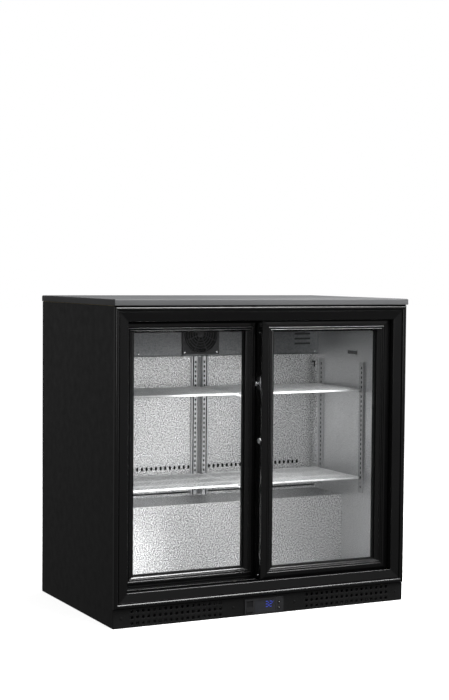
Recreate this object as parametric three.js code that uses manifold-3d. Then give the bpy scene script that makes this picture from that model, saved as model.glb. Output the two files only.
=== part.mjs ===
// Under-counter back-bar fridge with two sliding glass doors: an insulated cabinet with an embossed
// aluminium liner, a fan-cooled evaporator behind a cover at the top rear, and a machine bay below.
// Millimetres. +X right, +Y to the back, +Z up. The origin is on the floor under the cabinet's middle.
import * as THREE from 'three';
import { mergeVertices } from 'three/addons/utils/BufferGeometryUtils.js';
import Module from 'manifold-3d';

const wasm = await Module();
wasm.setup();

// ---------------------------------------------------------------- driving dimensions
const WIDTH = 900; // worktop, side to side
const DEPTH = 550; // worktop lip to back panel
const HEIGHT = 865;
const GAP = 0.3; // between pieces that touch
const SKIN = 1; // steel and aluminium sheet
const CUT = 1; // how far a cutting solid runs past the face it cuts
const REAR_FLANGE = 16; // of the side panels, round the back

const SIDE_X = WIDTH / 2 - 2; // outer face of the side panels
const BACK_Y = DEPTH / 2;
const FRONT_Y = -DEPTH / 2 + 10; // front plane of the cabinet, behind the worktop's lip
const CAP_HEIGHT = 17; // worktop lip
const CAP_SKIN = 1.7;
const CAP_Z = HEIGHT - CAP_HEIGHT;

// front frame: four mitred members with a raised rim and a face that slopes to the opening
const FRAME_TOP = 846;
const FRAME_BOTTOM = 52;
const FRAME_WIDTH = 40;
const FRAME_RIM = 8; // the rim stands this far in front of the cabinet
const FRAME_BACK = 3; // flange behind the cabinet's front plane
const FRAME_DEPTH = 86; // front plane to the back of the door channel
const JAMB = 4; // wall of the door channel
const WEB_IN = 22; // from the frame's outer edge to the web above and below the doors
const MITRE_GAP = 0.2;
const OPENING_X = SIDE_X - FRAME_WIDTH;

// doors: the right one runs in the front track, the left one in the rear track
const DOOR_WIDTH = 410;
const DOOR_THICK = 32;
const DOOR_TOP = 812;
const DOOR_BOTTOM = 88;
const DOOR_SIDE_CLEARANCE = 2;
const FRONT_DOOR_Y = FRONT_Y + 16; // front face of the right door
const REAR_DOOR_Y = FRONT_DOOR_Y + DOOR_THICK + 4; // front face of the left door
const STILE = 38; // width of the door frame
const CHANNEL_U = 26; // bottom of the glass channel, from the door's outer edge
const CHANNEL_FRONT = 8; // glass channel, from the door's front face
const CHANNEL_BACK = 28;
const PANE = 4;

// rollers and tracks
const ROLLER_R = 9; // running radius in the groove
const ROLLER_FLANGE = 1.5;
const ROLLER_WIDTH = 8;
const ROLLER_GROOVE = 4.4;
const ROLLER_INSET = 62; // from a door's edge
const AXLE_R = 2;
const RAIL_TOP = 84;
const RAIL_WIDTH = 3;
const POCKET_HALF = 12; // roller pocket in the door's bottom rail
const POCKET_TOP = 105;

// lock in the meeting stile of the right door, and the pull knob above it
const LOCK_Z = 475;
const LOCK_Y = 12; // from the door's front face
const LOCK_R = 7.5;
const LOCK_PROUD = 6;
const LOCK_DEEP = 12;
const BOLT_R = 3;
const BOLT_LENGTH = 22;
const BOLT_IN = 18; // from the stile's outer edge
const KNOB_Z = 632;
const KNOB_Y = 23; // from the door's front face
const KNOB_PLATE = 38;
const KNOB_PLATE_Y = [6, 30];
const FIN_INSET = 15; // upright fin on the left door's front, from its outer edge
const FIN_PROUD = 2.6;

// interior
const LINER_X = 403; // inner face of the side liners
const LINER_FRONT = -176;
const LINER_FLANGE = 9;
const CEILING_Z = 815;
const FLOOR_Z = 82;
const STEP_Y = 0; // front face of the step over the machine bay
const STEP_Z = 273;
const REAR_WALL_Y = 234;
const DUCT_Y = 155; // front face of the air-duct panel
const DUCT_TOP = 687;
const INSULATION = 38;

// machine bay under the step and behind the kick panel
const BAY_Y = STEP_Y + INSULATION + 2;
const BAY_TOP = STEP_Z - INSULATION - 2;
const BAY_FLOOR = FRAME_BOTTOM; // underside of the insulated floor
const GRILLE_Y = 266; // recessed rear grille
const BASE_SKIN = 2;
const BASE_FLANGE = 24;

// kick panel with two fields of round vent holes
const KICK_TOP = 50.5;
const KICK_SKIN = 1.5;
const KICK_RETURN = 14;
const VENT_COLUMNS = 17;
const VENT_ROWS = 3;
const VENT_PITCH_X = 16.25;
const VENT_PITCH_Z = 16.5;
const VENT_FIRST_X = 134;
const VENT_FIRST_Z = 10;
const VENT_R = 4.5;

// temperature controller in the middle of the kick panel
const PANEL_X0 = -61;
const PANEL_X1 = 59;
const PANEL_Z0 = 2;
const PANEL_Z1 = 45;
const PANEL_PROUD = 3;
const SWITCH_X = -46; // middle of the light switch
const SWITCH_W = 20;
const SWITCH_H = 30;
const ROCKER_PROUD = 1.8;
const WINDOW_X0 = -30;
const WINDOW_X1 = 34;
const BUTTON_X = 45;
const BUTTON_R = 4;

// shelves and their perforated supports
const SHELF_LEVELS = { lower: 337, upper: 595 };
const SHELF_FRONT = -120;
const SHELF_BACK = 145;
const SHELF_OUTER_X = 396;
const SHELF_INNER_X = 3;
const SHELF_ROD = 6;
const SHELF_WIRES = 32;
const WIRE_WIDTH = 2.6;
const PILASTER_BOTTOM = 292;
const PILASTER_TOP = 676;
const PILASTER_WIDTH = 22;
const PILASTER_DEPTH = 4.5;
const BRACKET_HALF = 12;
const CLIP_WIDTH = 12;
const CLIP_REACH = 18; // from the wall
const SLOT_PITCH = 14;
const SLOT_COUNT = 26;
const SLOT_W = 4;
const SLOT_H = 6;

// air duct: a row of oval outlets and a long slot
const OUTLET_PITCH = 15;
const OUTLET_Z = 358;
const OUTLET_HALF_W = 4;
const OUTLET_HALF_H = 6;
const OUTLETS_PER_SIDE = 21;
const OUTLET_FIRST_X = 34;
const DUCT_SLOT_Z = [281, 286];
const DUCT_SLOT_X = [30, 396];

// evaporator, its cover and its fan
const COVER_Y = 150;
const COVER_BOTTOM = 688;
const FAN_SIZE = 120;
const FAN_Z = COVER_BOTTOM + 4.5 + FAN_SIZE / 2;
const FAN_DUCT_R = 55;
const FAN_DEPTH = 25;
const FAN_BLADES = 7;
const GRILLE_THICK = 4;
const ARC_STEPS = 3;
const LOUVRE_X = [319, 373];
const LOUVRE_Z = [720, 735, 750];
const LOUVRE_H = 6;
const COIL_X = 300;
const COIL_Y = [184, 226];
const COIL_Z = [712, 806];
const LAMP_X = 370;
const LAMP_Y = [-166, -142];
const LAMP_H = 12;

// compressor, condenser with its fan, rear grille and cord gland
const COMPRESSOR_X = 170;
const CONDENSER_X = -110; // its face on the fan shroud
const CONDENSER_WIDTH = 190;
const CONDENSER_DEEP = 48;
const CONDENSER_TOP = 215;
const SHROUD_SIZE = 196;
const SHROUD_DUCT_R = 88;
const SHROUD_DEEP = 22;
const REAR_SLOT_X = [-330, -220, -110, 0, 110, 220, 330];
const REAR_SLOT_ROWS = 6;
const REAR_SLOT_Z = 60; // lowest row
const REAR_SLOT_PITCH = 24;
const INLET_X = 380;
const INLET_Z = 32;

// ---------------------------------------------------------------- finishes
const FINISHES = {
  blackPanel: { color: 0x1b1b1c, roughness: 0.42, metalness: 0.0 },
  worktop: { color: 0x6f7173, roughness: 0.38, metalness: 0.6 },
  blackAluminium: { color: 0x141415, roughness: 0.28, metalness: 0.3 },
  galvanised: { color: 0xa9adaf, roughness: 0.5, metalness: 0.9 },
  foam: { color: 0xe6d9a8, roughness: 0.95, metalness: 0.0 },
  liner: { color: 0xc9ccce, roughness: 0.34, metalness: 0.85 },
  wire: { color: 0xd8dadb, roughness: 0.3, metalness: 0.7 },
  blackPlastic: { color: 0x101011, roughness: 0.5, metalness: 0.0 },
  greyPlastic: { color: 0x3a3b3d, roughness: 0.45, metalness: 0.0 },
  window: { color: 0x2c2f36, roughness: 0.12, metalness: 0.0 },
  glass: { color: 0xdfe8e8, roughness: 0.02, metalness: 0.0, transparent: true, opacity: 0.3 },
  lamp: { color: 0xf3f6fa, roughness: 0.5, metalness: 0.0 },
  compressorBlack: { color: 0x151617, roughness: 0.4, metalness: 0.2 },
  chrome: { color: 0xd5d8da, roughness: 0.1, metalness: 1.0 },
  whitePlastic: { color: 0xd8d9d4, roughness: 0.45, metalness: 0.0 },
};

const fridge = new THREE.Group();

function add(name, geometry, finish, parent = fridge) {
  const mesh = new THREE.Mesh(geometry, new THREE.MeshStandardMaterial(FINISHES[finish]));
  mesh.name = name;
  parent.add(mesh);
  return mesh;
}

// ---------------------------------------------------------------- shapes
function box([x0, x1], [y0, y1], [z0, z1]) {
  const geometry = new THREE.BoxGeometry(x1 - x0, y1 - y0, z1 - z0);
  return geometry.translate((x0 + x1) / 2, (y0 + y1) / 2, (z0 + z1) / 2);
}

function outline(points) {
  return new THREE.Shape(points.map(([a, b]) => new THREE.Vector2(a, b)));
}

function circlePoints(a, b, radiusA, radiusB, sides) {
  const points = [];
  for (let i = 0; i < sides; i += 1) {
    const angle = (2 * Math.PI * (i + 0.5)) / sides;
    points.push([a + radiusA * Math.cos(angle), b + radiusB * Math.sin(angle)]);
  }
  return points;
}

function extrude(shape, length) {
  return new THREE.ExtrudeGeometry(shape, { depth: length, bevelEnabled: false, curveSegments: 6 });
}

// profile in (y, z), drawn along X
function alongX(points, [x0, x1]) {
  const geometry = extrude(outline(points), x1 - x0);
  geometry.rotateZ(Math.PI / 2);
  geometry.rotateY(Math.PI / 2);
  return geometry.translate(x0, 0, 0);
}

// profile in (x, y), drawn along Z
function alongZ(points, [z0, z1]) {
  return extrude(outline(points), z1 - z0).translate(0, 0, z0);
}

function rectangle([a0, a1], [b0, b1]) {
  return [[a0, b0], [a1, b0], [a1, b1], [a0, b1]];
}

function cylinder(radius, length, sides = 24) {
  return new THREE.CylinderGeometry(radius, radius, length, sides);
}

function manifoldOf(geometry) {
  const plain = geometry.index ? geometry.toNonIndexed() : geometry.clone();
  plain.deleteAttribute('normal');
  plain.deleteAttribute('uv');
  const merged = mergeVertices(plain, 1e-4);
  const vertProperties = new Float32Array(merged.attributes.position.array);
  const triVerts = new Uint32Array(merged.index.array);
  return new wasm.Manifold(new wasm.Mesh({ numProp: 3, vertProperties, triVerts }));
}

function geometryOf(solid) {
  const mesh = solid.getMesh();
  const geometry = new THREE.BufferGeometry();
  geometry.setAttribute('position', new THREE.BufferAttribute(mesh.vertProperties, 3));
  geometry.setIndex(new THREE.BufferAttribute(mesh.triVerts, 1));
  return geometry;
}

function cut(base, ...tools) {
  return geometryOf(tools.reduce((solid, tool) => solid.subtract(manifoldOf(tool)), manifoldOf(base)));
}

function join(base, ...others) {
  return geometryOf(others.reduce((solid, other) => solid.add(manifoldOf(other)), manifoldOf(base)));
}

// upright plate in the X-Z plane, with holes given as point lists in (x, z)
function platePiece(spanX, [y0, y1], spanZ, holes) {
  const prisms = holes.map((points) => {
    const prism = extrude(outline(points), y1 - y0 + 2 * CUT);
    return prism.rotateX(Math.PI / 2).translate(0, y1 + CUT, 0);
  });
  return cut(box(spanX, [y0, y1], spanZ), ...prisms);
}

// a bar whose two ends are mitred: profile in (u, p), with u from the outer edge to the opening
function mitredBar(profile, halfLength) {
  const geometry = extrude(outline(profile), 1);
  const position = geometry.attributes.position;
  for (let i = 0; i < position.count; i += 1) {
    const end = halfLength - position.getX(i) - MITRE_GAP;
    position.setZ(i, position.getZ(i) > 0.5 ? end : -end);
  }
  return geometry;
}

// a rectangular ring with mitred corners: profile in (u, d), with d from the front face to the back
function mitredRing(profile, width, height) {
  const reach = STILE * 3;
  const closed = [...profile, profile[0]].reverse();
  const points = closed.map(([u, d]) => new THREE.Vector2(Math.SQRT2 * (reach - u), d));
  const geometry = new THREE.LatheGeometry(points, 4, Math.PI / 4);
  const position = geometry.attributes.position;
  for (let i = 0; i < position.count; i += 1) {
    const x = position.getX(i);
    const z = position.getZ(i);
    position.setX(i, x + Math.sign(x) * (width / 2 - reach));
    position.setZ(i, z + Math.sign(z) * (height / 2 - reach));
  }
  return geometry;
}

// ---------------------------------------------------------------- cabinet shell
function addShell() {
  const capOuter = box([-WIDTH / 2, WIDTH / 2], [-BACK_Y, BACK_Y], [CAP_Z, HEIGHT]);
  const capInner = box(
    [-WIDTH / 2 + CAP_SKIN, WIDTH / 2 - CAP_SKIN],
    [-BACK_Y + CAP_SKIN, BACK_Y - CAP_SKIN],
    [CAP_Z - CUT, HEIGHT - CAP_SKIN],
  );
  add('worktop', cut(capOuter, capInner), 'worktop');

  const frontEdge = FRONT_Y + FRAME_BACK + GAP;
  for (const [name, side] of [['side_panel_left', -1], ['side_panel_right', 1]]) {
    const outer = side * SIDE_X;
    const inner = side * (SIDE_X - SKIN);
    const profile = [
      [outer, frontEdge],
      [outer, BACK_Y],
      [side * (SIDE_X - REAR_FLANGE), BACK_Y],
      [side * (SIDE_X - REAR_FLANGE), BACK_Y - SKIN],
      [inner, BACK_Y - SKIN],
      [inner, frontEdge],
    ];
    add(name, alongZ(side > 0 ? profile : profile.reverse(), [GAP, FRAME_TOP + 1]), 'blackPanel');
  }
  const backX = SIDE_X - REAR_FLANGE - GAP;
  const backZ = [BAY_TOP + 2, FRAME_TOP + 1];
  add('back_panel', box([-backX, backX], [BACK_Y - SKIN, BACK_Y], backZ), 'blackPanel');

  const innerX = SIDE_X - SKIN - GAP;
  const trayProfile = (x) => [
    [-x, 0], [x, 0], [x, BASE_FLANGE], [x - BASE_SKIN, BASE_FLANGE], [x - BASE_SKIN, BASE_SKIN],
    [-x + BASE_SKIN, BASE_SKIN], [-x + BASE_SKIN, BASE_FLANGE], [-x, BASE_FLANGE],
  ];
  const trayLength = [FRONT_Y + KICK_RETURN + 2 * GAP, GRILLE_Y - GAP];
  const tray = extrude(outline(trayProfile(innerX)), trayLength[1] - trayLength[0]);
  tray.rotateX(Math.PI / 2).translate(0, trayLength[1], 0);
  add('base_tray', tray, 'galvanised');
}

function addInsulation() {
  const outerX = SIDE_X - SKIN - GAP;
  const front = FRONT_Y + FRAME_BACK + GAP;
  const back = BACK_Y - CAP_SKIN - GAP;
  const block = box([-outerX, outerX], [front, back], [BAY_FLOOR + GAP, HEIGHT - CAP_SKIN - GAP]);
  const channelX = OPENING_X + JAMB + GAP;
  const webZ = WEB_IN - GAP;
  const doorChannel = box(
    [-channelX, channelX],
    [front - CUT, LINER_FRONT + SKIN + GAP],
    [FRAME_BOTTOM + webZ, FRAME_TOP - webZ],
  );
  const cornerChannel = box(
    [-(SIDE_X - webZ), SIDE_X - webZ],
    [front - CUT, FRONT_Y + FRAME_DEPTH + GAP],
    [FRAME_BOTTOM + webZ, FRAME_TOP - webZ],
  );
  const cavityX = LINER_X + SKIN + GAP;
  const cavityFront = box(
    [-cavityX, cavityX],
    [LINER_FRONT - CUT, STEP_Y + SKIN + GAP],
    [FLOOR_Z - SKIN - GAP, CEILING_Z + SKIN + GAP],
  );
  const cavityRear = box(
    [-cavityX, cavityX],
    [STEP_Y, REAR_WALL_Y + SKIN + GAP],
    [STEP_Z - SKIN - GAP, CEILING_Z + SKIN + GAP],
  );
  const bay = box(
    [-outerX - CUT, outerX + CUT],
    [BAY_Y - SKIN - GAP, back + CUT],
    [BAY_FLOOR - CUT, BAY_TOP + SKIN + GAP],
  );
  add('insulation_foam', cut(block, doorChannel, cornerChannel, cavityFront, cavityRear, bay), 'foam');
}

// ---------------------------------------------------------------- interior liner
function addLiner() {
  for (const [name, side] of [['liner_left', -1], ['liner_right', 1]]) {
    const inner = side * LINER_X;
    const outer = side * (LINER_X + SKIN);
    const flange = side * (LINER_X + LINER_FLANGE);
    const profile = [
      [inner, LINER_FRONT],
      [flange, LINER_FRONT],
      [flange, LINER_FRONT + SKIN],
      [outer, LINER_FRONT + SKIN],
      [outer, REAR_WALL_Y + SKIN],
      [inner, REAR_WALL_Y + SKIN],
    ];
    const upright = side > 0 ? profile : profile.reverse();
    const sheet = alongZ(upright, [FLOOR_Z - SKIN, CEILING_Z + SKIN]);
    const underStep = box([-WIDTH, WIDTH], [STEP_Y + SKIN, BACK_Y], [0, STEP_Z - SKIN]);
    add(name, cut(sheet, underStep), 'liner');
  }
  const innerX = LINER_X - GAP;
  const ceiling = [
    [LINER_FRONT, CEILING_Z],
    [REAR_WALL_Y + SKIN, CEILING_Z],
    [REAR_WALL_Y + SKIN, CEILING_Z + SKIN],
    [LINER_FRONT + SKIN, CEILING_Z + SKIN],
    [LINER_FRONT + SKIN, CEILING_Z + LINER_FLANGE - 2],
    [LINER_FRONT, CEILING_Z + LINER_FLANGE - 2],
  ];
  add('liner_ceiling', alongX(ceiling, [-innerX, innerX]), 'liner');

  // one folded sheet: sill, floor, face and top of the step, and the rear wall
  const back = [
    [LINER_FRONT, FLOOR_Z],
    [LINER_FRONT, FLOOR_Z - 4],
    [LINER_FRONT + SKIN, FLOOR_Z - 4],
    [LINER_FRONT + SKIN, FLOOR_Z - SKIN],
    [STEP_Y + SKIN, FLOOR_Z - SKIN],
    [STEP_Y + SKIN, STEP_Z - SKIN],
    [REAR_WALL_Y + SKIN, STEP_Z - SKIN],
    [REAR_WALL_Y + SKIN, CEILING_Z - GAP],
    [REAR_WALL_Y, CEILING_Z - GAP],
    [REAR_WALL_Y, STEP_Z],
    [STEP_Y, STEP_Z],
    [STEP_Y, FLOOR_Z],
  ];
  add('liner_floor_and_back', alongX(back, [-innerX, innerX]), 'liner');

  const bay = [
    [FRONT_Y + KICK_RETURN + 2 * GAP, BAY_FLOOR - SKIN],
    [BAY_Y, BAY_FLOOR - SKIN],
    [BAY_Y, BAY_TOP],
    [GRILLE_Y - GAP, BAY_TOP],
    [GRILLE_Y - GAP, BAY_TOP + SKIN],
    [BAY_Y - SKIN, BAY_TOP + SKIN],
    [BAY_Y - SKIN, BAY_FLOOR],
    [FRONT_Y + KICK_RETURN + 2 * GAP, BAY_FLOOR],
  ];
  const bayX = SIDE_X - SKIN - GAP;
  add('machine_bay_liner', alongX(bay, [-bayX, bayX]), 'galvanised');
}

function addAirDuct() {
  const holes = [];
  for (const side of [-1, 1]) {
    for (let i = 0; i < OUTLETS_PER_SIDE; i += 1) {
      const x = side * (OUTLET_FIRST_X + i * OUTLET_PITCH);
      holes.push(circlePoints(x, OUTLET_Z, OUTLET_HALF_W, OUTLET_HALF_H, 6));
    }
    const ends = [side * DUCT_SLOT_X[0], side * DUCT_SLOT_X[1]].sort((a, b) => a - b);
    holes.push(rectangle(ends, DUCT_SLOT_Z));
  }
  const halfX = LINER_X - GAP;
  const panel = platePiece([-halfX, halfX], [DUCT_Y, DUCT_Y + SKIN], [STEP_Z + GAP, DUCT_TOP], holes);
  add('air_duct_panel', panel, 'liner');
}

// ---------------------------------------------------------------- front frame and tracks
function frameFace() {
  return [
    [0, -FRAME_BACK],
    [0, FRAME_RIM - 3],
    [1.5, FRAME_RIM - 1],
    [4, FRAME_RIM],
    [10, FRAME_RIM],
    [12.5, FRAME_RIM - 1.5],
    [13, 4],
    [FRAME_WIDTH, 0.5],
  ];
}

function addFrontFrame() {
  const jamb = [
    ...frameFace(),
    [FRAME_WIDTH, -FRAME_DEPTH],
    [FRAME_WIDTH - JAMB, -FRAME_DEPTH],
    [FRAME_WIDTH - JAMB, -FRAME_BACK],
  ];
  const header = [
    ...frameFace(),
    [FRAME_WIDTH, -FRAME_BACK],
    [WEB_IN + JAMB, -FRAME_BACK],
    [WEB_IN + JAMB, -FRAME_DEPTH],
    [WEB_IN, -FRAME_DEPTH],
    [WEB_IN, -FRAME_BACK],
  ];
  const middleZ = (FRAME_TOP + FRAME_BOTTOM) / 2;
  const halfHeight = (FRAME_TOP - FRAME_BOTTOM) / 2;
  const members = [
    ['frame_top', header, SIDE_X, 0, [0, FRAME_TOP]],
    ['frame_right', jamb, halfHeight, Math.PI / 2, [SIDE_X, middleZ]],
    ['frame_bottom', header, SIDE_X, Math.PI, [0, FRAME_BOTTOM]],
    ['frame_left', jamb, halfHeight, -Math.PI / 2, [-SIDE_X, middleZ]],
  ];
  for (const [name, profile, half, turn, [x, z]] of members) {
    // the bar's u axis points down, its p axis to the front and its length along X; turn swings it
    const geometry = mitredBar(profile, half);
    const placed = new THREE.Matrix4().makeBasis(
      new THREE.Vector3(0, 0, -1),
      new THREE.Vector3(0, -1, 0),
      new THREE.Vector3(-1, 0, 0),
    );
    geometry.applyMatrix4(placed).rotateY(turn).translate(x, FRONT_Y, z);
    add(name, geometry, 'blackAluminium');
  }
}

function addTracks() {
  const frontMid = FRONT_DOOR_Y + DOOR_THICK / 2;
  const rearMid = REAR_DOOR_Y + DOOR_THICK / 2;
  const front = FRONT_Y + FRAME_BACK + GAP;
  const back = FRONT_Y + FRAME_DEPTH - GAP;
  const halfX = OPENING_X - GAP;
  const plate = 1.6;
  const low = FRAME_BOTTOM + WEB_IN + JAMB + GAP;
  const rail = (middle) => [
    [middle + RAIL_WIDTH / 2, low + plate],
    [middle + RAIL_WIDTH / 2, RAIL_TOP],
    [middle - RAIL_WIDTH / 2, RAIL_TOP],
    [middle - RAIL_WIDTH / 2, low + plate],
  ];
  const bottom = [
    [front, low],
    [back, low],
    [back, low + plate],
    ...rail(rearMid),
    ...rail(frontMid),
    [front, low + plate],
  ];
  add('bottom_track', alongX(bottom, [-halfX, halfX]), 'blackAluminium');

  const high = FRAME_TOP - WEB_IN - JAMB - GAP;
  const ribFoot = FRAME_TOP - FRAME_WIDTH;
  const between = REAR_DOOR_Y - 2;
  const rib = plate / 2;
  const top = [
    [front, high - plate],
    [between - rib, high - plate],
    [between - rib, ribFoot],
    [between + rib, ribFoot],
    [between + rib, high - plate],
    [back - plate, high - plate],
    [back - plate, ribFoot],
    [back, ribFoot],
    [back, high],
    [front, high],
  ];
  add('top_track', alongX(top, [-halfX, halfX]), 'blackAluminium');
}

// ---------------------------------------------------------------- doors
const DOOR_PROFILE = [
  [0, DOOR_THICK - 2],
  [0, 2],
  [2, 0],
  [17, 0],
  [19, 0.8],
  [28, 4.5],
  [28, 6],
  [36, 6],
  [STILE, CHANNEL_FRONT - 1],
  [STILE, CHANNEL_FRONT],
  [CHANNEL_U, CHANNEL_FRONT],
  [CHANNEL_U, CHANNEL_BACK],
  [STILE, CHANNEL_BACK],
  [STILE, DOOR_THICK - 1],
  [STILE - 1, DOOR_THICK],
  [2, DOOR_THICK],
];

function rollerPlaces(x0) {
  return [['left', x0 + ROLLER_INSET], ['right', x0 + DOOR_WIDTH - ROLLER_INSET]];
}

function doorFrame(x0, y0, tools) {
  const height = DOOR_TOP - DOOR_BOTTOM;
  const ring = mitredRing(DOOR_PROFILE, DOOR_WIDTH, height);
  ring.translate(x0 + DOOR_WIDTH / 2, y0, DOOR_BOTTOM + height / 2);
  const middle = y0 + DOOR_THICK / 2;
  const half = ROLLER_WIDTH / 2 + 2;
  const pockets = rollerPlaces(x0).map(([, x]) =>
    box([x - POCKET_HALF, x + POCKET_HALF], [middle - half, middle + half], [DOOR_BOTTOM - CUT, POCKET_TOP]),
  );
  const axleZ = RAIL_TOP + GAP + ROLLER_R;
  const axles = rollerPlaces(x0).map(([, x]) =>
    cylinder(AXLE_R, 2 * half + 2, 12).translate(x, middle, axleZ),
  );
  return join(cut(ring, ...pockets, ...tools), ...axles);
}

function addGlass(door, x0, y0) {
  const inset = CHANNEL_U + 2 * GAP;
  const spanX = [x0 + inset, x0 + DOOR_WIDTH - inset];
  const spanZ = [DOOR_BOTTOM + inset, DOOR_TOP - inset];
  const outer = y0 + CHANNEL_FRONT + GAP;
  const inner = y0 + CHANNEL_BACK - GAP;
  add(`${door}_glass_outer`, box(spanX, [outer, outer + PANE], spanZ), 'glass');
  add(`${door}_glass_inner`, box(spanX, [inner - PANE, inner], spanZ), 'glass');
}

function roller() {
  const half = ROLLER_WIDTH / 2;
  const groove = ROLLER_GROOVE / 2;
  const rim = ROLLER_R + ROLLER_FLANGE;
  const points = [
    [AXLE_R + GAP, -half],
    [rim, -half],
    [rim, -groove - 0.5],
    [ROLLER_R, -groove],
    [ROLLER_R, groove],
    [rim, groove + 0.5],
    [rim, half],
    [AXLE_R + GAP, half],
    [AXLE_R + GAP, -half],
  ];
  return new THREE.LatheGeometry(points.map(([r, y]) => new THREE.Vector2(r, y)), 18);
}

function addRollers(door, x0, y0) {
  for (const [side, x] of rollerPlaces(x0)) {
    const geometry = roller().translate(x, y0 + DOOR_THICK / 2, RAIL_TOP + GAP + ROLLER_R);
    add(`${door}_roller_${side}`, geometry, 'whitePlastic');
  }
}

function addDoors() {
  const rearX = -OPENING_X + DOOR_SIDE_CLEARANCE;
  const finX = rearX + DOOR_WIDTH - FIN_INSET;
  const finZ = [DOOR_BOTTOM + STILE + 7, DOOR_TOP - STILE - 7];
  const fin = box([finX - 1, finX + 1], [REAR_DOOR_Y - FIN_PROUD, REAR_DOOR_Y + 1], finZ);
  add('door_left_frame', join(doorFrame(rearX, REAR_DOOR_Y, []), fin), 'blackAluminium');
  addGlass('door_left', rearX, REAR_DOOR_Y);
  addRollers('door_left', rearX, REAR_DOOR_Y);

  const frontX = OPENING_X - DOOR_SIDE_CLEARANCE - DOOR_WIDTH;
  const lockY = FRONT_DOOR_Y + LOCK_Y;
  const boltBack = FRONT_DOOR_Y + DOOR_THICK;
  const clear = 2 * GAP;
  const lockBore = cylinder(LOCK_R + clear, LOCK_DEEP + CUT + GAP).rotateZ(Math.PI / 2);
  lockBore.translate(frontX + (LOCK_DEEP + GAP - CUT) / 2, lockY, LOCK_Z);
  const boltBore = cylinder(BOLT_R + clear, BOLT_LENGTH + CUT + GAP, 16);
  boltBore.translate(frontX + BOLT_IN, boltBack + (CUT - BOLT_LENGTH - GAP) / 2, LOCK_Z);
  add('door_right_frame', doorFrame(frontX, FRONT_DOOR_Y, [lockBore, boltBore]), 'blackAluminium');
  addGlass('door_right', frontX, FRONT_DOOR_Y);
  addRollers('door_right', frontX, FRONT_DOOR_Y);

  // key cylinder: a barrel with a domed rim and a keyway, on the stile's outer edge
  const barrel = cylinder(LOCK_R, LOCK_PROUD + LOCK_DEEP).rotateZ(Math.PI / 2);
  barrel.translate(frontX + (LOCK_DEEP - LOCK_PROUD) / 2, lockY, LOCK_Z);
  const keyway = box(
    [frontX - LOCK_PROUD - CUT, frontX - LOCK_PROUD + 5],
    [lockY - 1, lockY + 1],
    [LOCK_Z - 4, LOCK_Z + 4],
  );
  add('lock_cylinder', cut(barrel, keyway), 'chrome');

  const bolt = cylinder(BOLT_R, BOLT_LENGTH - 2 * GAP, 16);
  bolt.translate(frontX + BOLT_IN, boltBack - BOLT_LENGTH / 2, LOCK_Z);
  add('lock_bolt', bolt, 'chrome');

  // pull knob on a narrow backing plate
  const plate = box(
    [frontX - 1.5 - GAP, frontX - GAP],
    [FRONT_DOOR_Y + KNOB_PLATE_Y[0], FRONT_DOOR_Y + KNOB_PLATE_Y[1]],
    [KNOB_Z - KNOB_PLATE / 2, KNOB_Z + KNOB_PLATE / 2],
  );
  const knob = [[0, 0], [4, 0], [4, 3], [6.5, 5], [6.5, 8], [5.5, 9], [0, 9]];
  const turned = new THREE.LatheGeometry(knob.map(([r, y]) => new THREE.Vector2(r, y)), 20);
  turned.rotateZ(Math.PI / 2).translate(frontX - 1, FRONT_DOOR_Y + KNOB_Y, KNOB_Z);
  add('pull_knob', join(plate, turned), 'chrome');
}

// ---------------------------------------------------------------- kick panel and controller
function addKickPanel() {
  const holes = [];
  for (const side of [-1, 1]) {
    for (let column = 0; column < VENT_COLUMNS; column += 1) {
      for (let row = 0; row < VENT_ROWS; row += 1) {
        const x = side * (VENT_FIRST_X + column * VENT_PITCH_X);
        const z = VENT_FIRST_Z + row * VENT_PITCH_Z;
        holes.push(circlePoints(x, z, VENT_R, VENT_R, 6));
      }
    }
  }
  holes.push(rectangle([PANEL_X0 - GAP, PANEL_X1 + GAP], [PANEL_Z0 - GAP, PANEL_Z1 + GAP]));
  const plateY = [FRONT_Y, FRONT_Y + KICK_SKIN];
  const plate = platePiece([-SIDE_X, SIDE_X], plateY, [GAP, KICK_TOP], holes);
  const returnY = [FRONT_Y, FRONT_Y + KICK_RETURN];
  const endX = SIDE_X - SKIN - GAP;
  const sideReturns = [-1, 1].map((side) => {
    const ends = [side * endX, side * (endX - KICK_SKIN)].sort((a, b) => a - b);
    return box(ends, returnY, [BASE_SKIN + GAP, KICK_TOP]);
  });
  const topReturn = box([-endX, endX], returnY, [KICK_TOP - KICK_SKIN, KICK_TOP]);
  add('kick_panel', join(plate, topReturn, ...sideReturns), 'blackPanel');
}

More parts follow.
